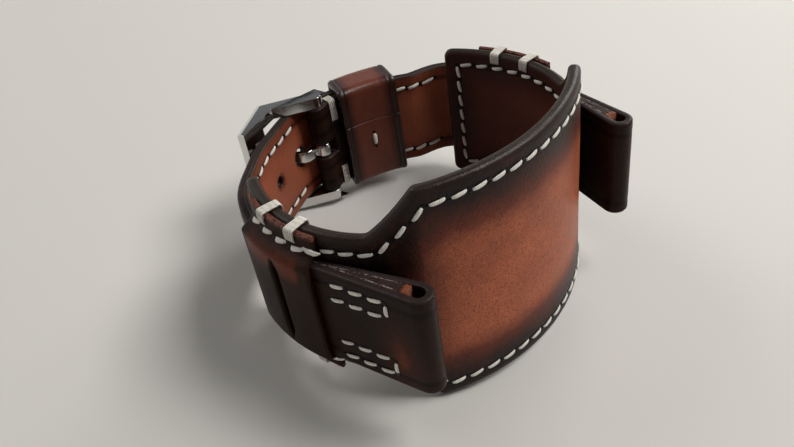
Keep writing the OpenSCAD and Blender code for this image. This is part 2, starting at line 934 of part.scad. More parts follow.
keeper_stitch_z = -1.7;
keeper_stitch_turn = 80;
module keeper_stitch() {
    color("ivory")
        at_rest()
            on_ring(keeper_low_r - keeper_t - stitch_lift, keeper_at, keeper_stitch_z)
                rotate([180, 0, 0])
                    stitch(keeper_stitch_turn);
}

module buckle_frame() {
    color("silver")
        at_rest()
            difference() {
                union() {
                    for (up = [0, 1])
                        mirror([0, 0, up])
                            translate([0, 0, frame_in])
                                linear_extrude(height = arm_t)
                                    arm_plan();
                    translate([0, 0, -frame_in])
                        linear_extrude(height = 2 * frame_in)
                            polygon([bar_back, tip_top, tip_low, bar_low]);
                }
                translate([bar_c[0], bar_c[1], -frame_in - pin_reach - pin_hole_floor])
                    cylinder(r = pin_neck + pin_hole_play, h = 2 * (frame_in + pin_reach + pin_hole_floor));
                translate([0, 0, -notch_w2 / 2])
                    linear_extrude(height = notch_w2)
                        polygon([bar_back - face_dir * cut_margin - face_out * notch_t,
                                 tip_top + face_dir * cut_margin - face_out * notch_t,
                                 tip_top + face_dir * cut_margin + face_out * cut_margin,
                                 bar_back - face_dir * cut_margin + face_out * cut_margin]);
            }
}

module buckle_tongue() {
    color("gainsboro")
        at_rest()
            difference() {
                union() {
                    translate([0, 0, -tongue_w / 2])
                        linear_extrude(height = tongue_w)
                            tongue_plan();
                    translate([bar_c[0], bar_c[1], -tongue_w / 2 - knuckle_lip])
                        cylinder(r = knuckle_r, h = tongue_w + 2 * knuckle_lip);
                }
                translate([bar_c[0], bar_c[1], -tongue_w])
                    cylinder(r = barrel_r + tongue_play, h = 2 * tongue_w);
            }
}

module on_bar() {
    at_rest()
        translate([bar_c[0], bar_c[1], 0])
            children();
}

module spring_bar_barrel() {
    color("lightsteelblue")
        on_bar()
            difference() {
                cylinder(r = barrel_r, h = 2 * barrel_half, center = true);
                cylinder(r = barrel_bore, h = 2 * (barrel_half - crimp_l), center = true);
                cylinder(r = crimp_bore, h = 3 * barrel_half, center = true);
            }
}

module spring_bar_spring() {
    color("gray")
        on_bar()
            spring_coil();
}

module spring_bar_pin_upper() {
    color("lightgray")
        on_bar()
            pin();
}

module spring_bar_pin_lower() {
    color("lightgray")
        on_bar()
            mirror([0, 0, 1])
                pin();
}

pad_outer();
pad_lining();
pad_stitching();
left_band();
right_band();
left_band_wraps();
right_band_wraps();
tail_outer();
tail_lining();
tail_core();
tail_stitching();
tail_tab_stitching();
buckle_strap_outer();
buckle_strap_lining();
buckle_strap_core();
buckle_strap_stitching();
buckle_strap_tab_stitching();
fold_wraps();
keeper_loop();
keeper_stitch();
buckle_frame();
buckle_tongue();
spring_bar_barrel();
spring_bar_spring();
spring_bar_pin_upper();
spring_bar_pin_lower();
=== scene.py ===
"""Looks of a leather watch strap with a wide pad, lying closed as a ring on a pale floor.

Every leather piece is a surface worked out on a grid of two parameters, the length along the piece
and the height across it, with a rounded and burnished edge. Sizes are in millimetres in the plan of
the closed ring, and one method places them in the row frame in metres.
"""

import json
import logging
import math
from dataclasses import dataclass, field
from enum import Enum
from typing import Any, Callable, Sequence

import bpy
import numpy as np
from mathutils import Matrix, Vector


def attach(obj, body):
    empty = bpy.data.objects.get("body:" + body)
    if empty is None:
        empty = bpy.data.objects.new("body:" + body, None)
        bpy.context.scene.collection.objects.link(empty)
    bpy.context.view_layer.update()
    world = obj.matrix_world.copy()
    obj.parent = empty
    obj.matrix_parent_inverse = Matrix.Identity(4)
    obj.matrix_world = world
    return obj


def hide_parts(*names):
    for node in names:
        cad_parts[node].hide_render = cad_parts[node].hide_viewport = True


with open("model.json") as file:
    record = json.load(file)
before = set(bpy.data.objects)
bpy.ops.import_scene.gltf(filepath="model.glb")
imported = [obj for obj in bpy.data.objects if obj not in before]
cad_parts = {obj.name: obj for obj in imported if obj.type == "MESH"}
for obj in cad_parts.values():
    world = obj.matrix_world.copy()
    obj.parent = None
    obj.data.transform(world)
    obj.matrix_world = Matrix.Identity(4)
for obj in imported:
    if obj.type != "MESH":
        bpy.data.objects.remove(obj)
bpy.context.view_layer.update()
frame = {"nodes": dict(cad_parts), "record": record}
LOG = logging.getLogger("watch_strap")
Array = np.ndarray
Place = Callable[[Array, Array, Array], Array]

# Metres in a millimetre, the least width that divides, and the room between two glued layers.
MM = 0.001
TINY = 1e-6
HAIR = 0.01
# Millimetres of a strap's length that stand for a degree, and the spacing of the stitches.
ARC = 0.6
PITCH = 3.8
# Points round a strand of thread, and half the width that a slit has before it opens.
STRAND_SIDES = 8
SLIT_HALF = 0.15
# Arc steps of a bevel, and the angle in degrees from which an edge gets one.
BEVEL_STEPS = 3
BEVEL_ANGLE = 20
# Counts of points along the long strap's run, a side of a tab, a tab's loop and the buckle's fold.
RUN_STEPS, TAB_STEPS, LOOP_STEPS, FOLD_STEPS = 260, 48, 40, 44
# Distances from an edge of the grid's close rows, on a strap and on the keeper.
LEAD = np.array([0.0, 0.05, 0.12, 0.22, 0.36, 0.55, 0.8, 1.1])
KEEPER_LEAD = np.array([*LEAD[:7], 1.0, 1.15, 1.25, 1.35, 1.45, 1.55, 1.7, 1.95])


class Body(Enum):
    """The moving bodies that a piece can ride on."""

    STRAPS = "straps"
    PAD = "pad"
    KEEPER = "keeper"
    FRAME = "frame"
    TONGUE = "tongue"


class Face(Enum):
    """The face of a leather piece that a row of thread lies on."""

    OUTER = 1
    INNER = -1


def smooth(t: Array) -> Array:
    """Eases 0 to 1: the cubic 3 t^2 - 2 t^3 of t held between 0 and 1."""
    u = np.clip(t, 0.0, 1.0)
    return u * u * (3.0 - 2.0 * u)


def polar(radius: Array, degrees: Array) -> Array:
    """Plan point at a radius and a plan angle: (r cos a, r sin a)."""
    a = np.radians(degrees)
    return np.stack([radius * np.cos(a), radius * np.sin(a)], axis=-1)


def unit(v: Array) -> Array:
    """Vectors divided by their lengths."""
    return v / np.linalg.norm(v, axis=-1, keepdims=True)


def bearing(point: Array, centre: Array) -> float:
    """Plan angle in degrees of a point seen from a centre."""
    return math.degrees(math.atan2(*(point - centre)[::-1]))


def sweep(ends: Sequence[Array], centre: Array, count: int) -> Array:
    """Plan angles in degrees round a centre, counted upwards from one point to another."""
    first, last = (bearing(p, centre) for p in ends)
    return np.linspace(first, last + 360 if last < first else last, count)


def lengths(points: Array) -> Array:
    """Running length along a line of points: the sum of its steps, from 0."""
    return np.concatenate([[0.0], np.cumsum(np.linalg.norm(np.diff(points, axis=0), axis=1))])


def circle(count: int) -> Array:
    """Angles in radians of points spread evenly round a circle."""
    return np.arange(count) * (2 * math.pi / count)


def squarish(angle: Array, power: float) -> tuple[Array, Array]:
    """Cosine and sine with their sizes raised to a power, which rounds a rectangle's corners."""
    wide, high = (np.sign(v) * np.abs(v) ** power for v in (np.cos(angle), np.sin(angle)))
    return wide, high


def touch(point: Array, centre: Array, radius: float, side: int) -> Array:
    """Point where the tangent from a point meets a circle.

    Args:
        point: Start of the tangent in plan.
        centre: Centre of the circle.
        radius: Radius of the circle.
        side: 1 or -1, for the tangent point that lies ahead or behind in angle.

    Returns:
        The tangent point: centre + r (cos, sin) of the bearing + side * acos(r / distance).
    """
    opening = math.degrees(math.acos(radius / float(np.linalg.norm(point - centre))))
    return centre + polar(radius, bearing(point, centre) + side * opening)


class Ring:
    """The closed ring's own frame and its place in the row frame."""

    def __init__(self, record: dict[str, Any]) -> None:
        """Reads the lean and the centre from the record's ring joint.

        Args:
            record: The CAD record.
        """
        joints = record["behaviour"]["joints"]
        joint = next(j for j in joints if j["name"] == "pad_turn")
        self.centre = np.array(joint["pos_m"], float)
        self.lean_sin, self.lean_cos = float(joint["axis"][1]), float(joint["axis"][2])

    def place(self, plan: Array, height: Array) -> Array:
        """Row coordinates of ring points.

        Args:
            plan: Plan points in millimetres, with the last axis of length 2.
            height: Heights along the ring's axis in millimetres.

        Returns:
            Points in metres: the plan point turned about X by the lean, then moved to the centre.
        """
        x, y = plan[..., 0], plan[..., 1]
        x, y, z = np.broadcast_arrays(x, y, height)
        turned = y * self.lean_cos + z * self.lean_sin, z * self.lean_cos - y * self.lean_sin
        return np.stack([x, *turned], -1) * MM + self.centre


RING = Ring(frame["record"])


@dataclass(frozen=True)
class PadCurve:
    """Plan curve of the pad: wings on the ring, two corner arcs and a flatter front."""

    wing_r: float = 33.9
    wing_end: float = 31.5
    front_r: float = 43.8
    front_depth: float = 27.8

    @property
    def front_y(self) -> float:
        """Distance of the front arc's centre behind the ring's centre."""
        return self.front_r - self.front_depth

    @property
    def corner_r(self) -> float:
        """Radius of the arc that touches both the wing and the front."""
        squares = self.front_r**2 - self.wing_r**2 - self.front_y**2
        return squares / (2 * (self.front_r - self.wing_r))

    @property
    def corner_x(self) -> float:
        """Sideways place of the corner arc's centre."""
        return self.wing_r - self.corner_r

    @property
    def corner_a(self) -> float:
        """Turn of the corner arc in radians."""
        return math.atan2(self.front_y, self.corner_x)

    @property
    def front_len(self) -> float:
        """Length of half the front."""
        return self.front_r * (math.pi / 2 - self.corner_a)

    @property
    def ring_from(self) -> float:
        """Length from the middle of the front to the wing's start at +X."""
        return self.front_len + self.corner_r * self.corner_a

    @property
    def length(self) -> float:
        """Length from the middle of the front to the end of a wing."""
        return self.ring_from + self.wing_r * math.radians(self.wing_end)

    def place(self, s: Array, z: Array, depth: Array) -> Array:
        """Row points at a length s from the middle of the front and a depth under the face.

        The curve's normal turns evenly along each arc, and a point is the arc's centre plus the
        arc's radius less the depth along that normal. Negative lengths mirror the point.

        Args:
            s: Lengths from the middle of the front.
            z: Heights.
            depth: Depths under the face.

        Returns:
            Row points.
        """
        s, z, depth = np.broadcast_arrays(np.asarray(s, float), z, depth)
        side, run = np.where(s < 0, -1.0, 1.0), np.abs(s)
        front, corner = run < self.front_len, run < self.ring_from
        normal = np.where(
            front,
            -math.pi / 2 + run / self.front_r,
            np.where(
                corner,
                -self.corner_a + (run - self.front_len) / self.corner_r,
                (run - self.ring_from) / self.wing_r,
            ),
        )
        radius = np.where(front, self.front_r, np.where(corner, self.corner_r, self.wing_r)) - depth
        x = np.where(front, 0.0, np.where(corner, self.corner_x, 0.0)) + radius * np.cos(normal)
        y = np.where(front, self.front_y, 0.0) + radius * np.sin(normal)
        return RING.place(np.stack([side * x, y], -1), z)

    def reach(self, x: float) -> float:
        """Length along the curve at which it reaches a sideways place x.

        Args:
            x: Sideways place.

        Returns:
            Length from the middle of the front.
        """
        if x <= self.front_r * math.cos(self.corner_a):
            return self.front_r * math.asin(x / self.front_r)
        turn = self.corner_a - math.acos((x - self.corner_x) / self.corner_r)
        return self.front_len + self.corner_r * turn

    def length_at(self, degrees: float) -> float:
        """Length along the curve at a plan angle, above or below +X.

        Args:
            degrees: Plan angle.

        Returns:
            Length from the middle of the front.
        """
        if degrees >= 0:
            return self.ring_from + self.wing_r * math.radians(degrees)
        a = math.radians(degrees)
        turn = a + math.asin(self.corner_x * math.sin(a) / self.corner_r)
        return self.ring_from + self.corner_r * turn


@dataclass(frozen=True)
class StrapCurve:
    """Both straps' run round the ring, with the bar at the back and the tabs in front."""

    pad: PadCurve = PadCurve()
    ride_r: float = 34.36
    back_r: float = 30.8
    leather: float = 1.4
    lining: float = 0.8
    layer_gap: float = 0.25
    bar_at: float = 88.5
    fold_r: float = 2.25
    lug_bore_r: float = 1.25
    loop: tuple[float, float] = (29.7, 25.7)
    tab_from: float = 7.5
    width: float = 22.0
    bar_sink: float = 0.25
    ease_free: float = 0.8
    ease_span: float = 16.0
    long_ease_span: float = 20.0
    bump_ahead: float = 12.0
    bump_behind: float = 24.0

    @property
    def thick(self) -> float:
        """Thickness of leather and lining together."""
        return self.leather + self.lining

    @property
    def bar(self) -> Array:
        """Plan point of the spring bar."""
        return polar(self.back_r + self.leather + self.lining / 2 - self.bar_sink, self.bar_at)

    def inner_r(self, degrees: Array, long_strap: bool) -> Array:
        """Inner radius of a strap: eased from the wing to the back, and lifted over the fold.

        Args:
            degrees: Plan angles.
            long_strap: True for the long strap, False for the buckle strap.

        Returns:
            Radii of the inner face.
        """
        a = np.asarray(degrees, float)
        if not long_strap:
            eased = smooth((a - self.pad.wing_end - self.ease_free) / self.ease_span)
            return self.ride_r + (self.back_r - self.ride_r) * eased
        back = self.back_r + self.thick + self.layer_gap
        lift = max(0.0, float(np.linalg.norm(self.bar)) + self.fold_r + self.layer_gap - back)
        t = (a - self.bar_at) / np.where(a < self.bar_at, self.bump_ahead, self.bump_behind)
        bump = np.where(np.abs(t) < 1, lift * np.cos(np.clip(t, -1, 1) * math.pi / 2) ** 2, 0.0)
        eased = smooth((180 - self.ease_free - self.pad.wing_end - a) / self.long_ease_span)
        return self.ride_r + (back - self.ride_r) * eased + bump

    def point(self, degrees: Array, long_strap: bool, lift: Array = 0.0) -> Array:
        """Plan point over the strap's inner face, along its normal.

        The normal is the tangent, a small difference of the face's points, turned outwards.

        Args:
            degrees: Plan angles.
            long_strap: True for the long strap, False for the buckle strap.
            lift: Distance over the inner face.

        Returns:
            Plan points.
        """
        a = np.asarray(degrees, float)
        ahead = polar(self.inner_r(a + 0.25, long_strap), a + 0.25)
        behind = polar(self.inner_r(a - 0.25, long_strap), a - 0.25)
        along = unit(ahead - behind)
        normal = np.stack([along[..., 1], -along[..., 0]], -1)
        return polar(self.inner_r(a, long_strap), a) + normal * np.asarray(lift, float)[..., None]

    def face(self, long_strap: bool) -> Place:
        """Placing function of a strap on the ring, where s is the plan angle times 0.6 mm a degree.

        Args:
            long_strap: True for the long strap, False for the buckle strap.

        Returns:
            The placing function.
        """

        def place(s: Array, z: Array, depth: Array) -> Array:
            """Row point at a depth under the strap's outer face."""
            s, z, depth = np.broadcast_arrays(s, z, depth)
            return RING.place(self.point(s / ARC, long_strap, self.thick - depth), z)

        return place

    def tab_lines(self) -> tuple[Array, Array]:
        """Outer and inner line of the left tab's leather, from the ring round the loop and back.

        Returns:
            The two lines, of equal counts of points.
        """
        centre = -np.array(self.loop)
        radii = (self.ride_r + lift for lift in (self.thick, 0.0, self.lining))
        out, inner, middle = (polar(radius, 180 + self.tab_from) for radius in radii)
        loop_r = self.lug_bore_r + self.leather
        ends = touch(out, centre, loop_r, 1), touch(inner, centre, loop_r, -1)
        turn = sweep(ends, centre, LOOP_STEPS)[1:-1]
        t = np.linspace(0, 1, TAB_STEPS)[:, None]

        def line(first: Array, last: Array, radius: float) -> Array:
            """Straight from the first point to the circle, round it, and straight to the last.

            Args:
                first: Start of the line.
                last: End of the line.
                radius: Radius of the loop.

            Returns:
                Points of the line.
            """
            on, off = (centre + (p - centre) * radius / loop_r for p in ends)
            return np.concatenate(
                [first + (on - first) * t, centre + polar(radius, turn), off + (last - off) * t]
            )

        return line(out, inner, loop_r), line(middle, middle, self.lug_bore_r)


@dataclass
class Strip:
    """A strip of leather between two lines in plan that are sampled together."""

    outer: Array
    inner: Array

    def __post_init__(self) -> None:
        """Measures the length along the strip's middle line."""
        self.run = lengths((self.outer + self.inner) / 2)
        self.thick = np.linalg.norm(self.inner - self.outer, axis=1)

    @property
    def length(self) -> float:
        """Length of the middle line."""
        return float(self.run[-1])

    def width(self, s: Array) -> Array:
        """Distance between the lines at length s."""
        return np.interp(s, self.run, self.thick)

    def between(self, s: Array, share: Array) -> Array:
        """Plan point at length s and at a share of the way from the outer line to the inner one.

        Args:
            s: Lengths along the piece.
            share: Share of the way, 0 to 1.

        Returns:
            Plan points.
        """
        outer, inner = (
            np.stack([np.interp(s, self.run, line[:, k]) for k in (0, 1)], -1)
            for line in (self.outer, self.inner)
        )
        return outer + (inner - outer) * share[..., None]

    def place(self, s: Array, z: Array, depth: Array) -> Array:
        """Row point at a depth from the outer line towards the inner one, both read at length s."""
        s, z, depth = np.broadcast_arrays(s, z, depth)
        return RING.place(self.between(s, depth / np.maximum(self.width(s), TINY)), z)


def samples(
    lo: float, hi: float, step: float, fine: Sequence[tuple[float, float, float]] = ()
) -> Array:
    """Sample lengths of a piece, close together beside both ends and round chosen places.

    Args:
        lo: First length.
        hi: Last length.
        step: Usual spacing.
        fine: Place, half-width and spacing of each stretch that has even, finer samples.

    Returns:
        The sorted lengths.
    """
    body = np.linspace(lo + LEAD[-1], hi - LEAD[-1], max(3, int(round((hi - lo) / step))))
    parts = [lo + LEAD, hi - LEAD]
    for middle, half, pitch in fine:
        body = body[np.abs(body - middle) > half + pitch * 0.4]
        count = int(round(half / pitch))
        parts.append(middle + pitch * np.arange(-count, count + 1))
    return np.unique(np.round(np.concatenate([body, *parts]), 5))


@dataclass
class Cloth:
    """A leather piece's grid: lengths, heights, distances to the edge and the cells it keeps."""

    s: Array
    z: Array
    edge: Array
    keep: Array

    @classmethod
    def cut(
        cls,
        s: Array,
        half: Callable[[Array], Array] | float,
        rows: int,
        ends: tuple[bool, bool] = (True, True),
        lead: Array = LEAD,
    ) -> "Cloth":
        """Lays the grid between the outline's two edges.

        A row near an edge keeps its distance to it, and the rows between are spread evenly. The
        distance to a sloping edge is the height to it over the root of 1 plus its slope squared.

        Args:
            s: Sample lengths.
            half: Half height of the outline, or a function that gives it at a length.
            rows: Count of the rows between the close ones.
            ends: Whether the first and the last column are edges too.
            lead: Distances of the close rows from an edge.

        Returns:
            The grid, with all its cells kept.
        """
        top = half(s) if callable(half) else np.full_like(s, half)
        slope = np.gradient(top, s)
        share = np.linspace(-1, 1, rows + 2)[1:-1]
        low, high = -top[:, None] + lead, top[:, None] - lead[::-1]
        z = np.concatenate([low, (top[:, None] - lead[-1]) * share, high], axis=1)
        grid = np.repeat(s[:, None], z.shape[1], axis=1)
        edge = (top[:, None] - np.abs(z)) / np.sqrt(1 + slope[:, None] ** 2)
        if ends[0]:
            edge = np.minimum(edge, grid - s[0])
        if ends[1]:
            edge = np.minimum(edge, s[-1] - grid)
        keep = np.ones((grid.shape[0] - 1, grid.shape[1] - 1), bool)
        return cls(grid, z, edge, keep)

    def punch(self, at: float, radius: float, pitch: float) -> None:
        """Punches a round hole on the middle line.

        Square rings of the even grid round the hole's middle are drawn onto circles: the ring
        nearest the radius becomes the hole's rim, and the pull fades over the next four rings.

        Args:
            at: Length of the hole's middle.
            radius: Radius of the hole.
            pitch: Spacing of the grid there.
        """
        dx, dz = self.s - at, self.z
        ring = np.maximum(np.abs(dx), np.abs(dz)) / pitch
        first = max(1, round(radius / pitch * 0.9))
        away = np.maximum(np.hypot(dx, dz), TINY)
        target = radius + (ring - first) * pitch
        pull = smooth((first + 4 - ring) / 4)
        self.s = self.s + pull * (dx / away * target - dx)
        self.z = self.z + pull * (dz / away * target - dz)
        gap = np.hypot(self.s - at, self.z) - radius
        self.edge = np.where(gap < 0.9, np.minimum(self.edge, np.maximum(gap, 0)), self.edge)
        self._open(ring <= first + 0.01)

    def slit(self, at: float, half: float, width: float, point: float) -> None:
        """Opens a long slot with pointed ends across the piece.

        The two columns beside the slot's middle part by the slot's width at their height, which
        falls evenly to nearly nothing over the length of its points.

        Args:
            at: Length of the slot's middle.
            half: Half its length.
            width: Its width.
            point: Length of each pointed end.
        """
        left = int(np.argmin(np.abs(self.s[:, 0] - (at - SLIT_HALF))))
        gap = width / 2 * np.clip((half - np.abs(self.z)) / point, 0.0, 1.0)
        gap = np.where(np.abs(self.z) < half, np.maximum(gap, 0.06), 0.06)
        offset = self.s - at
        fade = smooth(1 - (np.abs(offset) - SLIT_HALF) / 3.0)
        self.s = self.s + np.sign(offset) * (gap - SLIT_HALF) * fade
        near = (np.abs(self.z) < half) & (np.abs(offset) < 0.9)
        beside = np.minimum(self.edge, np.maximum(np.abs(self.s - at) - gap, 0))
        self.edge = np.where(near, beside, self.edge)
        rows = np.abs(self.z[left]) < half
        self.keep[left] &= ~(rows[:-1] & rows[1:])

    def window(self, start: float, stop: float, half: float) -> None:
        """Cuts a rectangular window on the middle line between two lengths.

        Args:
            start: First length.
            stop: Last length.
            half: Half its height.
        """
        gap = np.maximum(np.maximum(start - self.s, self.s - stop), np.abs(self.z) - half)
        self.edge = np.minimum(self.edge, np.maximum(gap, 0))
        self._open(gap <= TINY)

    def _open(self, inside: Array) -> None:
        """Drops the cells whose four corners all lie inside."""
        self.keep &= ~(inside[:-1, :-1] & inside[1:, :-1] & inside[:-1, 1:] & inside[1:, 1:])


def rim(edge: Array, radius: float) -> Array:
    """Depth that a rounded edge drops to: r less the root of r squared less (r - edge) squared."""
    near = np.clip(radius - edge, 0.0, radius)
    return radius - np.sqrt(np.maximum(radius**2 - near**2, 0.0))


def groove(edge: Array, inset: float, depth: float, width: float) -> Array:
    """Depth of a groove that follows the edge: a bell curve of the distance to its inset."""
    return depth * np.exp(-(((edge - inset) / width) ** 2))


class Piece:
    """Gathers a mesh in numpy arrays and makes the Blender object of it."""

    def __init__(self, name: str) -> None:
        """Starts an empty piece.

        Args:
            name: Name of the object.
        """
        self.name = name
        self.points: list[Array] = []
        self.faces: list[list[int]] = []
        self.uv: list[Array] = []
        self.edge: list[Array] = []
        self.tone: list[Array] = []
        self.count = 0

    def add(
        self, points: Array, faces: Sequence[Array], uv: Array, edge: Array, tone: Array
    ) -> None:
        """Adds points with their UV, edge distance and tone, and faces that index them.

        Args:
            points: Row points.
            faces: Blocks of faces, counted from the first of these points.
            uv: UV of each point.
            edge: Distance to the piece's edge.
            tone: Shade, 0 dark to 1 warm.
        """
        self.points.append(points.reshape(-1, 3))
        size = len(self.points[-1])
        self.uv.append(np.broadcast_to(uv, (size, 2)))
        self.edge.append(np.broadcast_to(edge, (size,)))
        self.tone.append(np.broadcast_to(tone, (size,)))
        for block in faces:
            self.faces.extend((block + self.count).tolist())
        self.count += size

    def shell(self, cloth: Cloth, place: Place, depths: tuple[Array, Array], tone: Array) -> None:
        """Closes a grid piece: two faces, and a wall along every edge that one cell owns.

        Args:
            cloth: The grid and the cells that it keeps.
            place: The sheet's placing function.
            depths: Depths of the outer and the inner face.
            tone: Shade of each grid point, 0 dark to 1 warm.
        """
        total = cloth.s.size
        index = np.arange(total).reshape(cloth.s.shape)
        corners = (index[:-1, :-1], index[1:, :-1], index[1:, 1:], index[:-1, 1:])
        top = np.stack([c[cloth.keep] for c in corners], axis=1)
        start, stop = top.ravel(), np.roll(top, -1, axis=1).ravel()
        alone = ~np.isin(start * total + stop, stop * total + start)
        p, q = start[alone], stop[alone]
        wall = np.stack([q, p, p + total, q + total], axis=1)
        faces = np.concatenate([top, top[:, ::-1] + total, wall])
        used, packed = np.unique(faces, return_inverse=True)
        both = np.concatenate([place(cloth.s, cloth.z, depth).reshape(-1, 3) for depth in depths])
        uv = np.tile(np.stack([cloth.s.ravel(), cloth.z.ravel()], 1) * MM, (2, 1))
        edge, shade = (np.tile(v.ravel(), 2)[used] for v in (np.maximum(cloth.edge, 0), tone))
        self.add(both[used], [packed.reshape(faces.shape)], uv[used], edge, shade)

    def tubes(self, points: Array, closed: bool, flip: bool, uv: Array, tone: Array = 1.0) -> None:
        """Adds tubes with flat ends.

        Args:
            points: Row points by tube, ring and place round the ring.
            closed: Whether each tube closes on itself, without ends.
            flip: Whether the faces turn over to point outwards.
            uv: UV of each point.
            tone: Shade of each point.
        """
        k, n, m = points.shape[:3]
        index = np.arange(k * n * m).reshape(k, n, m)
        here, there = index[:, :-1], index[:, 1:]
        if closed:
            here, there = index, np.roll(index, -1, axis=1)
        corners = here, np.roll(here, -1, axis=2), np.roll(there, -1, axis=2), there
        quads = np.stack(corners, -1).reshape(-1, 4)
        faces = [quads[:, ::-1] if flip else quads]
        if not closed:
            first, last = index[:, 0], index[:, -1]
            faces += [first if flip else first[:, ::-1], last[:, ::-1] if flip else last]
        self.add(points, faces, uv, 1.0, tone)

    def finish(
        self,
        material: bpy.types.Material,
        body: Body,
        slot: str,
        replaces: Sequence[str],
        bevel: float = 0.0,
    ) -> None:
        """Makes the object and hands it to its body.

        Args:
            material: Its finish.
            body: The body that it rides on.
            slot: The record's material slot. Not used.
            replaces: The CAD nodes that it stands for.
            bevel: Width of a bevel on sharp edges in millimetres, 0 for none.
        """
        mesh = bpy.data.meshes.new(self.name)
        points = np.concatenate(self.points)
        mesh.from_pydata(points.tolist(), [], self.faces)
        mesh.update(calc_edges=True)
        mesh.polygons.foreach_set("use_smooth", np.ones(len(mesh.polygons), bool))
        loops = np.zeros(len(mesh.loops), np.int32)
        mesh.loops.foreach_get("vertex_index", loops)
        uv = np.concatenate(self.uv)[loops].ravel()
        mesh.uv_layers.new(name="UVMap").data.foreach_set("uv", uv)
        for name, parts in (("edge", self.edge), ("tone", self.tone)):
            values = np.concatenate(parts).astype(np.float32)
            mesh.attributes.new(name, "FLOAT", "POINT").data.foreach_set("value", values)
        mesh.materials.append(material)
        made = bpy.data.objects.new(self.name, mesh)
        bpy.context.scene.collection.objects.link(made)
        if bevel:
            modifier = made.modifiers.new("bevel", "BEVEL")
            modifier.width = bevel * MM
            modifier.segments = BEVEL_STEPS
            modifier.limit_method = "ANGLE"
            modifier.angle_limit = math.radians(BEVEL_ANGLE)
            modifier.use_clamp_overlap = False
            modifier.harden_normals = True
        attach(made, body.value)
        if replaces:
            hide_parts(*replaces)
        LOG.info("%s: %d points, %d faces", self.name, self.count, len(self.faces))


class Wire:
    """A node's output, with Python arithmetic that adds Math nodes."""

    def __init__(self, graph: "Graph", socket: bpy.types.NodeSocket) -> None:
        """Wraps a socket of a graph."""
        self.graph, self.socket = graph, socket

    def _calc(self, operation: str, first: Any, second: Any) -> "Wire":
        """Adds one Math node."""
        return self.graph.add("ShaderNodeMath", {"operation": operation}, {0: first, 1: second})

    def __add__(self, other: Any) -> "Wire":
        """Sum."""
        return self._calc("ADD", self, other)

    __radd__ = __add__

    def __sub__(self, other: Any) -> "Wire":
        """Difference."""
        return self._calc("SUBTRACT", self, other)

    def __rsub__(self, other: Any) -> "Wire":
        """Difference, the other way round."""
        return self._calc("SUBTRACT", other, self)

    def __mul__(self, other: Any) -> "Wire":
        """Product."""
        return self._calc("MULTIPLY", self, other)

    __rmul__ = __mul__

    def __truediv__(self, other: Any) -> "Wire":
        """Quotient."""
        return self._calc("DIVIDE", self, other)

    def __rtruediv__(self, other: Any) -> "Wire":
        """Quotient, the other way round."""
        return self._calc("DIVIDE", other, self)

    def __abs__(self) -> "Wire":
        """Size without its sign."""
        return self._calc("ABSOLUTE", self, 0.0)

    def held(self) -> "Wire":
        """Held between 0 and 1."""
        return self._calc("MINIMUM", self._calc("MAXIMUM", self, 0.0), 1.0)

    def eased(self, lo: float, hi: float) -> "Wire":
        """Eased from 0 at lo to 1 at hi.

        Args:
            lo: Value that gives 0.
            hi: Value that gives 1.

        Returns:
            The eased wire.
        """
        settings = {"interpolation_type": "SMOOTHSTEP"}
        inputs = {"Value": self, "From Min": lo, "From Max": hi}
        return self.graph.add("ShaderNodeMapRange", settings, inputs)


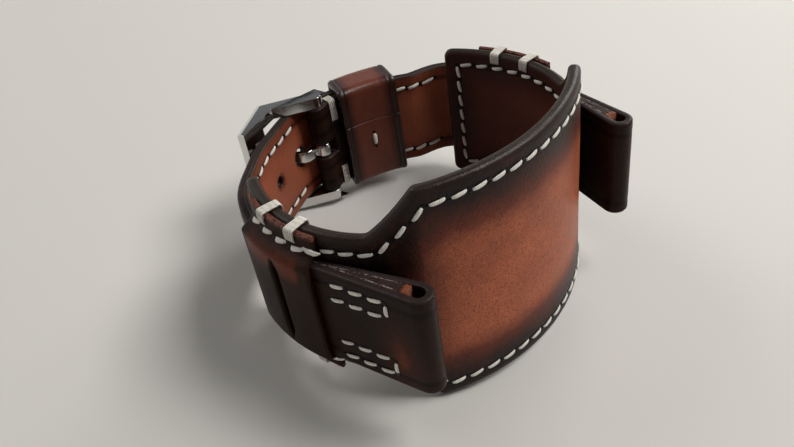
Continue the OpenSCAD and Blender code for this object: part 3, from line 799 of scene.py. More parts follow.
class Graph:
    """The node tree of a material or of the world, and the one method that adds its nodes."""

    def __init__(self, owner: bpy.types.ID) -> None:
        """Empties the owner's tree.

        Args:
            owner: The material or the world.
        """
        self.owner = owner
        owner.use_nodes = True
        self.tree = owner.node_tree
        self.tree.nodes.clear()

    def add(
        self,
        kind: str,
        settings: dict[str, Any] | None = None,
        inputs: dict[Any, Any] | None = None,
        out: Any = 0,
    ) -> Wire:
        """Adds a node.

        Args:
            kind: The node's type.
            settings: Its settings, set first. "stops" are a ramp's places and colours, in order.
            inputs: Values or wires of its sockets, by name or number.
            out: Name or number of the output that is handed back.

        Returns:
            The chosen output, which is empty for a node without one.
        """
        node = self.tree.nodes.new(kind)
        for key, value in (settings or {}).items():
            if key == "stops":
                for place, _ in value[1:-1]:
                    node.color_ramp.elements.new(place)
                for element, (place, colour) in zip(node.color_ramp.elements, value):
                    element.position, element.color = place, (*colour, 1.0)
            else:
                setattr(node, key, value)
        for key, value in (inputs or {}).items():
            if isinstance(value, Wire):
                self.tree.links.new(value.socket, node.inputs[key])
            else:
                node.inputs[key].default_value = value
        return Wire(self, node.outputs[out] if len(node.outputs) else None)

    def where(self) -> Wire:
        """Object coordinates."""
        return self.add("ShaderNodeTexCoord", out="Object")

    def attribute(self, name: str) -> Wire:
        """A number that the piece's own points carry."""
        return self.add("ShaderNodeAttribute", {"attribute_name": name}, out="Fac")

    def mix(self, factor: Any, first: Any, second: Any, blend: str = "MIX") -> Wire:
        """Mixes two colours by a factor.

        Args:
            factor: Share of the second.
            first: First colour or wire.
            second: Second colour or wire.
            blend: Kind of blend.

        Returns:
            The mixed colour.
        """
        first, second = (v if isinstance(v, Wire) else (*v, 1.0) for v in (first, second))
        settings = {"data_type": "RGBA", "blend_type": blend}
        return self.add("ShaderNodeMix", settings, {0: factor, 6: first, 7: second}, 2)

    def noise(self, where: Wire, scale: float, detail: float = 2.0, roughness: float = 0.5) -> Wire:
        """Noise at a scale, about 0.5."""
        inputs = {"Vector": where, "Scale": scale, "Detail": detail, "Roughness": roughness}
        return self.add("ShaderNodeTexNoise", {}, inputs)

    def bump(self, strength: float, distance: float, height: Wire) -> Wire:
        """Normal bent by a height over a distance in metres."""
        inputs = {"Strength": strength, "Distance": distance, "Height": height}
        return self.add("ShaderNodeBump", {}, inputs, "Normal")

    def surface(self, inputs: dict[str, Any]) -> bpy.types.Material:
        """Adds the surface shader and the output."""
        return self.close(self.add("ShaderNodeBsdfPrincipled", {}, inputs))

    def close(self, shader: Wire, kind: str = "ShaderNodeOutputMaterial") -> bpy.types.ID:
        """Links a shader to the output and hands back the tree's owner."""
        self.add(kind, {}, {"Surface": shader})
        return self.owner


Colour = tuple[float, float, float]


def scaled(colour: Colour, factor: float) -> Colour:
    """A colour times a factor."""
    red, green, blue = colour
    return red * factor, green * factor, blue * factor


@dataclass(frozen=True)
class LeatherFinish:
    """Waxed leather that is burnished darker towards its edges.

    The piece's own attributes give the shade and the distance to its edge; a fine grain of pores
    and creases and a few broad blotches break both up.
    """

    name: str
    dark: Colour
    middle: Colour
    warm: Colour
    edge_colour: Colour
    edge_width: float = 0.5
    # Distance from the edge of a line darkened as painted shade of a groove, 0 for none.
    line: float = 0.0
    roughness: float = 0.42
    grain: float = 0.5
    speck: float = 0.35
    coat: float = 0.04
    shine: float = 0.14
    frayed: float = 0.0
    glue_line: float = 0.0

    def make(self) -> bpy.types.Material:
        """Builds the material.

        Returns:
            The material.
        """
        g = Graph(bpy.data.materials.new(self.name))
        where, edge, tone = g.where(), g.attribute("edge"), g.attribute("tone")
        blotch, mottle = g.noise(where, 130.0, 3.0, 0.6), g.noise(where, 900.0, 4.0, 0.65)
        fleck, fine = g.noise(where, 1900.0, 2.0, 0.55), g.noise(where, 3800.0, 3.0, 0.6)
        inputs = {"Vector": where, "Scale": 2600.0}
        pores = g.add("ShaderNodeTexVoronoi", {"feature": "F1"}, inputs, "Distance")
        shade = tone + (blotch - 0.5) * 0.5 + (mottle - 0.5) * 0.28
        shade = (shade + (fleck - 0.5) * self.speck * 0.5).held()
        stops = [(0.0, self.dark), (0.5, self.middle), (1.0, self.warm)]
        colour = g.add("ShaderNodeValToRGB", {"stops": stops}, {"Fac": shade}, "Color")
        freckle = ((fine * 0.5 + fleck * 0.5 - 0.47) * 6.0).held() * self.speck
        colour = g.mix(freckle, colour, (0.42, 0.32, 0.28), "MULTIPLY")
        glint = ((0.44 - fine) * 5.0).held() * self.speck * 0.5
        colour = g.mix(glint, colour, (1.9, 1.6, 1.5), "MULTIPLY")
        # Painted shade of the stitch groove and of the keeper's crease: the colour darkens along a
        # line at this distance from the edge.
        if self.line:
            near = 1 - (abs(edge - self.line) / 0.9).eased(0.25, 1.0)
            colour = g.mix(near * 0.75, colour, (0.30, 0.22, 0.2), "MULTIPLY")
        rubbed = 1 - (edge + (mottle - 0.5) * 0.35).eased(self.edge_width * 0.25, self.edge_width)
        worn = (mottle - 0.3 + (fleck - 0.5) * 6.0 * self.frayed).held()
        pale, deep = scaled(self.edge_colour, 1 + self.frayed), scaled(self.edge_colour, 0.45)
        colour = g.mix(rubbed, colour, g.mix(worn, pale, deep))
        if self.glue_line:
            near = (1 - abs(edge - self.glue_line) / 0.3).held()
            colour = g.mix(near * ((fleck - 0.47) * 9.0).held() * 0.8, colour, (0.30, 0.25, 0.23))
        rough = (blotch - 0.5) * 0.22 + (mottle - 0.5) * 0.18 - rubbed * 0.07 + self.roughness
        return g.surface(
            {
                "Base Color": colour,
                "Roughness": rough.held(),
                "Coat Weight": self.coat,
                "Coat Roughness": 0.3,
                "Specular IOR Level": self.shine,
                "Normal": g.bump(self.grain, 0.00009, fine * 0.5 + pores * 0.7 + mottle * 1.2),
            }
        )


@dataclass(frozen=True)
class ThreadFinish:
    """Waxed off-white thread: fine plies that wind round the stitch, painted shade between the plies
    and where strands touch, and a little dirt.
    """

    name: str = "waxed_thread"
    light: Colour = (0.78, 0.75, 0.67)
    dirt: Colour = (0.36, 0.31, 0.23)

    def make(self) -> bpy.types.Material:
        """Builds the material from the piece's UV: U along the thread in millimetres, V round it.

        Returns:
            The material.
        """
        g = Graph(bpy.data.materials.new(self.name))
        where, uv = g.where(), g.add("ShaderNodeTexCoord", out="UV")
        along = g.add("ShaderNodeSeparateXYZ", {}, {"Vector": uv}, "X")
        around = Wire(g, along.socket.node.outputs["Y"])
        turns = (along * 2.6 + around) * (2 * math.pi)
        ply = g.add("ShaderNodeMath", {"operation": "SINE"}, {0: turns})
        spots, fuzz = g.noise(where, 1500.0, 3.0), g.noise(where, 6000.0, 2.0)
        colour = g.mix(((spots - 0.45) * 1.8).held() * 0.55, self.light, self.dirt)
        # Painted shade in the grooves between the plies.
        colour = g.mix((0.16 - ply * 0.16).held(), colour, (0.62, 0.56, 0.46), "MULTIPLY")
        # Painted shade from the tone attribute, dark where a strand touches its neighbours.
        shaded = (1 - g.attribute("tone")).held()
        colour = g.mix(shaded, colour, (0.16, 0.12, 0.09), "MULTIPLY")
        bump = g.bump(0.6, 0.00008, ply * 0.5 + fuzz)
        return g.surface({"Base Color": colour, "Roughness": 0.62 + fuzz * 0.2, "Normal": bump})


@dataclass(frozen=True)
class SteelFinish:
    """Polished or drawn steel with faint wiping marks."""

    name: str
    colour: Colour = (0.66, 0.66, 0.64)
    roughness: float = 0.12

    def make(self) -> bpy.types.Material:
        """Builds the material.

        Returns:
            The material.
        """
        g = Graph(bpy.data.materials.new(self.name))
        where = g.where()
        drawn_out = {"Vector": where, "Scale": (260.0, 2600.0, 2600.0)}
        marks = g.noise(g.add("ShaderNodeMapping", {}, drawn_out), 1.0, 4.0, 0.7)
        cloud = g.noise(where, 240.0, 2.0)
        colour = g.mix((cloud - 0.35).held() * 0.5, self.colour, scaled(self.colour, 0.8))
        rough = ((marks - 0.5) * 0.08 + (cloud - 0.5) * 0.06 + self.roughness).held()
        bump = g.bump(0.03, 0.00003, marks)
        return g.surface({"Base Color": colour, "Metallic": 1.0, "Roughness": rough, "Normal": bump})


@dataclass(frozen=True)
class FloorFinish:
    """Plain pale floor. Far from the strap, where no lamp reaches, it shows as a pale backdrop."""

    name: str = "pale_floor"
    colour: Colour = (0.58, 0.555, 0.51)
    backdrop: Colour = (0.61, 0.585, 0.54)
    near: float = 0.2
    far: float = 0.62

    def make(self) -> bpy.types.Material:
        """Builds the material.

        Returns:
            The material.
        """
        g = Graph(bpy.data.materials.new(self.name))
        where = g.where()
        colour = g.mix(g.noise(where, 30.0, 2.0) * 0.25, self.colour, scaled(self.colour, 0.94))
        lit = g.add("ShaderNodeBsdfPrincipled", {}, {"Base Color": colour, "Roughness": 0.8})
        pale = g.add("ShaderNodeEmission", {}, {"Color": (*self.backdrop, 1.0)})
        rays = [g.add("ShaderNodeLightPath", out=ray) for ray in ("Is Camera Ray", "Is Glossy Ray")]
        reach = g.add("ShaderNodeVectorMath", {"operation": "LENGTH"}, {0: where}, "Value")
        shown = (rays[0] + rays[1]).held() * reach.eased(self.near, self.far)
        return g.close(g.add("ShaderNodeMixShader", {}, {0: shown, 1: lit, 2: pale}))


OLIVE: Colour = (0.026, 0.016, 0.010)
BLACK: Colour = (0.012, 0.006, 0.004)
BURNISHED: Colour = (0.032, 0.021, 0.019)
RAW: Colour = (0.06, 0.022, 0.015)
# Near-black of the stitch pits, painted shade of the stitch holes.
PIT_SHADE: Colour = (0.003, 0.002, 0.002)


def dye(name: str, *colours: Colour, **values: float) -> Any:
    """Field that holds a leather's material: dark, middle, warm and edge colours, and values."""
    return field(default_factory=LeatherFinish(name, *colours, **values).make)


@dataclass
class Finishes:
    """All finishes of the strap, each made once."""

    pad: bpy.types.Material = dye(
        "burnished_pad", BLACK, (0.125, 0.026, 0.012), (0.42, 0.118, 0.052), OLIVE,
        edge_width=1.0, line=3.2, roughness=0.40, grain=0.6, speck=0.9,
    )
    # Pad lining colours: partly the lining's own dark dye and partly darkened as painted shade of
    # the ring's shadowed inside.
    lining: bpy.types.Material = dye(
        "pad_lining", (0.022, 0.007, 0.004), (0.07, 0.014, 0.007), (0.12, 0.026, 0.011), OLIVE,
        edge_width=0.7, line=3.2, roughness=0.46,
    )
    band: bpy.types.Material = dye(
        "waxed_band", (0.016, 0.008, 0.005), (0.03, 0.011, 0.006), (0.17, 0.038, 0.017), RAW,
        edge_width=0.8, roughness=0.36, grain=0.35, coat=0.02, shine=0.07, frayed=1.0,
    )
    strap: bpy.types.Material = dye(
        "waxed_strap", (0.014, 0.007, 0.0045), (0.05, 0.013, 0.006), (0.26, 0.06, 0.018), BURNISHED,
        line=2.7, roughness=0.36, coat=0.02, shine=0.08,
    )
    strap_lining: bpy.types.Material = dye(
        "strap_lining", (0.08, 0.019, 0.010), (0.24, 0.062, 0.030), (0.36, 0.105, 0.050), OLIVE,
        line=2.7, roughness=0.44,
    )
    filler: bpy.types.Material = dye(
        "raw_filler", (0.026, 0.014, 0.012), (0.042, 0.021, 0.017), (0.36, 0.10, 0.034), OLIVE,
        edge_width=0.05, roughness=0.5, grain=0.9, speck=0.9, glue_line=1.1,
    )
    keeper: bpy.types.Material = dye(
        "keeper_leather", (0.014, 0.006, 0.004), (0.075, 0.016, 0.008), (0.155, 0.04, 0.022), BLACK,
        edge_width=0.8, line=1.35, roughness=0.36, shine=0.4,
    )
    # Pits at the stitch ends: painted shade of the stitch holes.
    pit: bpy.types.Material = dye("stitch_pit_shade", PIT_SHADE, PIT_SHADE, PIT_SHADE, PIT_SHADE)
    thread: bpy.types.Material = field(default_factory=ThreadFinish().make)
    polished: bpy.types.Material = field(default_factory=SteelFinish("polished_steel").make)
    drawn: bpy.types.Material = field(
        default_factory=SteelFinish("drawn_steel", (0.5, 0.5, 0.49), 0.3).make
    )


def row(start: Sequence[float], stop: Sequence[float]) -> tuple[Array, Array, Array]:
    """Middles and directions of the stitches of a straight row between two points of a sheet.

    Args:
        start: Length and height where it starts.
        stop: Length and height where it ends.

    Returns:
        Lengths, heights and directions in degrees.
    """
    first = np.asarray(start, float)
    run = np.asarray(stop, float) - first
    count = max(1, round(float(np.linalg.norm(run)) / PITCH))
    middles = first + run * ((np.arange(count) + 0.5) / count)[:, None]
    return middles[:, 0], middles[:, 1], np.full(count, math.degrees(math.atan2(run[1], run[0])))


@dataclass
class Seam:
    """Saddle stitches: leaf-shaped, slanted, with their ends drawn down into pits of painted shade.
    """

    thread_name: str
    pits_name: str
    length: float = 3.4
    width: float = 0.86
    rise: float = 0.36
    slant: float = 9.0
    pit_length: float = 1.1
    pit_half: float = 0.36

    def __post_init__(self) -> None:
        """Starts the two pieces."""
        self.thread, self.pits = Piece(self.thread_name), Piece(self.pits_name)

    def sew(
        self,
        place: Place,
        stitches: tuple[Array, Array, Array],
        face: Face = Face.OUTER,
        thick: float = 0.0,
        length: float = 0.0,
        grow: float = 1.0,
        pitted: bool = True,
    ) -> None:
        """Adds stitches to a sheet.

        Along a stitch, u runs from -1 to 1: its width shrinks as 1 - 0.72 |u|^3, and its middle
        line rises over the leather and dips under it at both ends as |u|^4. A pit is a flat
        near-black ellipsoid a hair over the leather, painted shade of the stitch hole.

        Args:
            place: The sheet's placing function.
            stitches: Lengths and heights of their middles, and their directions in degrees.
            face: The face that they lie on.
            thick: Thickness of the sheet, for the inner face.
            length: Length of one, 0 for the usual.
            grow: Factor on their width.
            pitted: Whether their ends lie in pits of painted shade.
        """
        s, z, turn = (np.asarray(v, float) for v in stitches)
        angle = np.radians(turn + self.slant * face.value)
        half = (length or self.length) / 2
        u, around = np.linspace(-1, 1, 9)[:, None], circle(STRAND_SIDES)
        fat = 1 - 0.72 * np.abs(u) ** 3
        run, side = half * u, self.width * grow / 2 * fat * np.cos(around)
        height = self.rise * (0.42 + 0.56 * fat * np.sin(around)) - 0.42 * u**4
        points = self._lay(place, (s, z, angle), (run, side, height), face, thick)
        along = np.broadcast_to(run, points.shape[:-1])
        wrap = np.broadcast_to(around / (2 * math.pi), points.shape[:-1])
        uv = np.stack([along.ravel(), wrap.ravel()], 1)
        self.thread.tubes(points, False, face is Face.INNER, uv)
        # Pits: flat near-black ellipsoids at both ends, painted shade of the stitch holes.
        if pitted:
            ends = np.array([-1.0, 1.0])[:, None] * half * 1.02
            s, z = (s + ends * np.cos(angle)).ravel(), (z + ends * np.sin(angle)).ravel()
            u, around = np.linspace(-0.98, 0.98, 5)[:, None], circle(6)
            fat = np.sqrt(1 - u**2)
            run, side = self.pit_length / 2 * u, self.pit_half * fat * np.cos(around)
            height = 0.05 * fat * np.sin(around) + 0.01
            points = self._lay(place, (s, z, np.tile(angle, 2)), (run, side, height), face, thick)
            self.pits.tubes(points, False, face is Face.INNER, np.zeros((1, 2)), 0.0)

    def _lay(
        self,
        place: Place,
        middles: Sequence[Array],
        solid: Sequence[Array],
        face: Face,
        thick: float,
    ) -> Array:
        """Row points of equal small solids on a sheet.

        A solid's point at run u, side v and a height over the face lies, for a solid turned by a,
        at s + u cos a - v sin a and z + u sin a + v cos a.

        Args:
            place: The sheet's placing function.
            middles: Length s, height z and turn a of each solid.
            solid: Run, side and height of the points of one.
            face: The face that they lie on.
            thick: Thickness of the sheet, for the inner face.

        Returns:
            Row points by solid, place along it and place round it.
        """
        s, z, angle = (v[:, None, None] for v in middles)
        run, side, height = solid
        ds = run * np.cos(angle) - side * np.sin(angle)
        dz = run * np.sin(angle) + side * np.cos(angle)
        depth = -height if face is Face.OUTER else thick + height
        return place(s + ds, z + dz, depth + 0 * ds)

    def finish(self, finishes: Finishes, body: Body, slot: str, node: str) -> None:
        """Makes both objects: thread that stands for a CAD node, and pits of painted shade."""
        self.thread.finish(finishes.thread, body, "thread", [node])
        self.pits.finish(finishes.pit, body, slot, [])


def wind(
    piece: Piece, path: tuple[Array, Array], degrees: Array, strand: float, uv_length: float
) -> None:
    """Winds strands of thread over the upper and the lower edge of a piece.

    A point is the path's point plus the strand's radius times the cosine along the path's normal
    and the sine along the ring. The tone is painted shade: bright on a strand's crown and dark
    where it touches its neighbours, as the cosine's size to the power 1.2.

    Args:
        piece: The piece that gathers the strands.
        path: Radii and heights of the middle line over the upper edge.
        degrees: Plan angle of each strand.
        strand: Radius of one strand.
        uv_length: Length of a strand in its UV.
    """
    around, rings = circle(STRAND_SIDES), len(path[0])
    along = np.repeat(np.linspace(0, uv_length, rings), STRAND_SIDES)
    uv = np.stack([along, np.tile(np.arange(STRAND_SIDES) / STRAND_SIDES, rings)], 1)
    # Painted shade of each strand, dark where it touches its neighbours.
    shade = np.abs(np.cos(around)) ** 1.2 * 0.95 + 0.05
    for up in (1, -1):
        path_r, path_z = path[0], path[1] * up
        tangent = unit(np.stack([np.gradient(path_r), np.gradient(path_z)], -1))
        r = path_r[:, None] - tangent[:, 1:2] * strand * np.cos(around)
        z = path_z[:, None] + tangent[:, 0:1] * strand * np.cos(around)
        a = degrees[:, None, None] + np.degrees(strand * np.sin(around) / r)
        tubes = RING.place(polar(np.broadcast_to(r, a.shape), a), np.broadcast_to(z, a.shape))
        tone = np.broadcast_to(shade, a.shape).ravel()
        piece.tubes(tubes, False, up == 1, np.tile(uv, (len(degrees), 1)), tone)


def over_edge(
    inside: float, outside: float, top: float, leg: float, strand: float, count: int
) -> tuple[Array, Array]:
    """Middle line of a strand over an edge: up one face, round the two corners and down the other.

    Args:
        inside: Radius of the inner face.
        outside: Radius of the outer face.
        top: Height of the edge.
        leg: Length of the strand on each face.
        strand: Radius of the strand.
        count: Count of the line's points.

    Returns:
        Radii and heights.
    """
    corner = 0.35
    low = [(strand * 0.2, -leg - 0.25), (strand, corner - leg), (strand, -corner)]
    half = np.array([*low, (strand * 0.55, strand * 0.6), (-corner, strand)])
    middle = [((inside + outside) / 2, top + strand * 1.05)]
    key = np.concatenate([half * (-1, 1) + (inside, top), middle, half[::-1] + (outside, top)])
    run = lengths(key)
    t = np.linspace(0, run[-1], count)
    return np.interp(t, run, key[:, 0]), np.interp(t, run, key[:, 1])


@dataclass
class Pad:
    """The wide pad under the watch: outer leather, lining and the perimeter stitching."""

    curve: PadCurve
    wing_h: float = 32.2
    panel_h: float = 49.4
    panel_w: float = 46.6
    notch_w: float = 59.0
    leather: float = 1.4
    lining: float = 1.0
    inset: float = 3.2
    end_round: float = 1.8
    step: float = 0.62
    rows: int = 62
    outer_rim: float = 1.1
    lining_rim: float = 0.95
    glue_rim: float = 0.04
    seam_depth: float = 0.14
    seam_half: float = 0.55

    def half(self, s: Array) -> Array:
        """Half height of the outline: tall panel, slopes, wings and rounded wing ends.

        The slope runs straight in the front view, and both its corners are eased by averaging the
        outline over a short stretch. The wing ends lose a quarter circle.

        Args:
            s: Lengths along the piece.

        Returns:
            Half heights.
        """
        end = self.curve.length
        fine = np.linspace(-end, end, 4001)
        places = np.linspace(0, self.curve.wing_r, 300)
        x = np.interp(np.abs(fine), [self.curve.reach(place) for place in places], places)
        slope = (self.notch_w / 2 - x) / (self.notch_w - self.panel_w) * 2
        rise = self.wing_h / 2 + (self.panel_h - self.wing_h) / 2 * np.clip(slope, 0, 1)
        window = np.hanning(61)
        rise = np.convolve(np.pad(rise, 30, mode="edge"), window / window.sum(), mode="valid")
        short = np.clip(self.end_round - (end - np.abs(fine)), 0, self.end_round)
        rise = rise - (self.end_round - np.sqrt(self.end_round**2 - short**2))
        return np.interp(s, fine, rise)

    def tone(self, cloth: Cloth) -> Array:
        """Shade of the outer face: warm in the middle, nearly black along the edges and wings.

        Args:
            cloth: The piece's grid.

        Returns:
            Shade of each grid point.
        """
        inward = smooth((cloth.edge - 3.4) / 12.0)
        aside = 1 - 0.8 * smooth((np.abs(cloth.s) - 18.0) / 15.0)
        # Painted sheen: the shade is a little lighter towards the lower edge.
        lower = 0.12 * np.clip(-cloth.z / 20.0, -1, 1)
        return np.clip(inward * aside * (0.92 + lower), 0, 1)

    def build(self, finishes: Finishes) -> None:
        """Builds both layers.

        Args:
            finishes: The strap's finishes.
        """
        end = self.curve.length
        slope = (self.curve.reach(self.panel_w / 2) + self.curve.reach(self.notch_w / 2)) / 2
        fine = [(side * slope, 6.0, 0.35) for side in (-1, 1)]
        cloth = Cloth.cut(samples(-end, end, self.step, fine), self.half, self.rows)
        edge, back = cloth.edge, self.leather + self.lining
        wave = 0.05 * np.sin(cloth.s * 0.21 + 0.8) * np.sin(cloth.z * 0.17 + 0.3)
        wave = wave * smooth(edge / 3.0)
        seam = groove(edge, self.inset, self.seam_depth, self.seam_half)
        glue = rim(edge, self.glue_rim)
        depths = rim(edge, self.outer_rim) + seam + wave, self.leather - HAIR - glue
        made = Piece("pad_outer_leather")
        made.shell(cloth, self.curve.place, depths, self.tone(cloth))
        made.finish(finishes.pad, Body.PAD, "pad_leather", ["pad_outer"])
        depths = self.leather + glue, back - rim(edge, self.lining_rim) - seam * 0.8
        made = Piece("pad_lining_leather")
        made.shell(cloth, self.curve.place, depths, 0.15 + 0.6 * smooth((edge - 2.5) / 8.0))
        made.finish(finishes.lining, Body.PAD, "lining_leather", ["pad_lining"])

    def sew(self, finishes: Finishes, bands: "Bands") -> None:
        """Sews the perimeter on both faces; a row that crosses a band lies on the band's face.

        Args:
            finishes: The strap's finishes.
            bands: The bands on the wings.
        """
        low_z, top_z = self.wing_h / 2 - self.inset, self.panel_h / 2 - self.inset
        low_s = self.curve.reach(self.notch_w / 2) - self.inset * 0.45
        top_s = self.curve.reach(self.panel_w / 2) - self.inset * 0.55
        end_s = self.curve.length - self.inset
        below, above = self.curve.length_at(-bands.below), self.curve.length_at(bands.above)
        outside = (low_s, below, Face.OUTER), (above, end_s, Face.OUTER)
        plan: list[tuple] = []
        for side in (-1, 1):
            for up in (-1, 1):
                plan.append(((side * top_s, up * top_z), (side * low_s, up * low_z), Face))
            plan.append(((side * end_s, -low_z), (side * end_s, low_z), Face))
        plan += [((-top_s, up * top_z), (top_s, up * top_z), Face) for up in (-1, 1)]
        for side in (-1, 1):
            for up in (-1, 1):
                for first, last, face in ((low_s, end_s, Face.INNER), *outside):
                    plan.append(((side * first, up * low_z), (side * last, up * low_z), [face]))
        seam = Seam("pad_saddle_stitches", "pad_stitch_pits")
        for start, stop, faces in plan:
            for face in faces:
                seam.sew(self.curve.place, row(start, stop), face, self.leather + self.lining)
        seam.finish(finishes, Body.PAD, "pad_leather", "pad_stitching")


@dataclass
class Bands:
    """The two stitched bands on the wings that hold the straps, and the thread round their edges."""

    curve: PadCurve
    straps: StrapCurve
    wing_h: float = 32.2
    thick: float = 1.2
    inset: float = 3.2
    below: float = 11.0
    above: float = 18.5
    gap: float = 0.2
    slot_w: float = 1.9
    slot_l: float = 19.6
    slot_at: float = 2.5
    slot_point: float = 2.6
    raised_half: float = 13.1
    raised_ease: float = 2.5
    wrap_at: tuple[float, float] = (-3.2, 10.0)
    wrap_leg: float = 1.8
    strands: int = 5
    strand: float = 0.225

    @property
    def low_r(self) -> float:
        """Outer radius of the glued edge."""
        return self.curve.wing_r + self.thick

    @property
    def high_r(self) -> float:
        """Outer radius over the strap."""
        return self.straps.ride_r + self.straps.thick + self.gap + self.thick

    def face(self, left: bool) -> Place:
        """Placing function of a band, where s is the length up from +X at its outer face.

        Args:
            left: True for the left band.

        Returns:
            The placing function.
        """

        def place(s: Array, z: Array, depth: Array) -> Array:
            """Row point, where the outer radius eases from the glued edge up to the raised middle.

            Args:
                s: Lengths.
                z: Heights.
                depth: Depths.

            Returns:
                Row points.
            """
            s, z, depth = np.broadcast_arrays(s, z, depth)
            raised = smooth((self.raised_half - np.abs(z)) / self.raised_ease)
            radius = self.low_r + (self.high_r - self.low_r) * raised - depth
            degrees = np.degrees(s / self.low_r)
            return RING.place(polar(radius, 180 + degrees if left else degrees), z)

        return place

    def build(self, finishes: Finishes) -> None:
        """Builds both bands with their slots, stitches and windings.

        Args:
            finishes: The strap's finishes.
        """
        for side, sign in (("left", -1), ("right", 1)):
            self._band(side, sign, finishes)
            self._wind(side, sign, finishes)

    def _band(self, side: str, sign: int, finishes: Finishes) -> None:
        """Builds one band.

        Args:
            side: "left" or "right".
            sign: -1 on the left and 1 on the right.
            finishes: The strap's finishes.
        """
        ends = sorted(sign * math.radians(a) * self.low_r for a in (-self.below, self.above))
        slot_s = sign * math.radians(self.slot_at) * self.low_r
        s = samples(ends[0], ends[1], 0.6, [(slot_s, 3.15, 0.3)])
        beside = [slot_s - SLIT_HALF, slot_s + SLIT_HALF]
        s = np.unique(np.concatenate([s[np.abs(s - slot_s) > SLIT_HALF - HAIR], beside]))
        cloth = Cloth.cut(s, self.wing_h / 2 - 0.1, 74)
        cloth.slit(slot_s, self.slot_l / 2, self.slot_w, self.slot_point)
        depths = rim(cloth.edge, 0.4), self.thick - 2 * HAIR - rim(cloth.edge, 0.2)
        warm = np.exp(-(((cloth.z - 9.5) / 3.4) ** 2)) * smooth((cloth.edge - 0.6) / 2.5)
        inward = smooth((self.wing_h / 2 - 0.7 - np.abs(cloth.z)) / 0.5)
        cloth.edge = np.maximum(cloth.edge, 0) + inward
        made = Piece(f"{side}_wing_band")
        made.shell(cloth, self.face(sign < 0), depths, 0.12 + 0.75 * warm)
        made.finish(finishes.band, Body.PAD, "band_leather", [f"{side}_band"])

    def _wind(self, side: str, sign: int, finishes: Finishes) -> None:
        """Winds the thread over one band's edges and sews the row through its glued edges.

        Args:
            side: "left" or "right".
            sign: -1 on the left and 1 on the right.
            finishes: The strap's finishes.
        """
        seam = Seam(f"{side}_band_thread", f"{side}_band_stitch_pits")
        top = self.wing_h / 2
        path = over_edge(self.curve.wing_r - 2.4, self.low_r, top, self.wrap_leg, self.strand, 26)
        step = math.degrees(2 * self.strand / self.low_r)
        for middle in self.wrap_at:
            degrees = middle + (np.arange(self.strands) - (self.strands - 1) / 2) * step
            wind(seam.thread, path, 180 - degrees if sign < 0 else degrees, self.strand, 2.8)
        place = self.face(sign < 0)
        stops = (2.4 - self.below, self.above - 0.6, 1.0 - self.below)
        first, last, end = (sign * math.radians(a) * self.low_r for a in stops)
        for up in (1, -1):
            z = up * (top - self.inset)
            seam.sew(place, row((first, z), (last, z)))
            glued = [end], [z + up * 0.4], [-12.0 * up]
            seam.sew(place, glued, length=3.9, grow=1.35, pitted=False)
        seam.finish(finishes, Body.PAD, "band_leather", f"{side}_band_wraps")


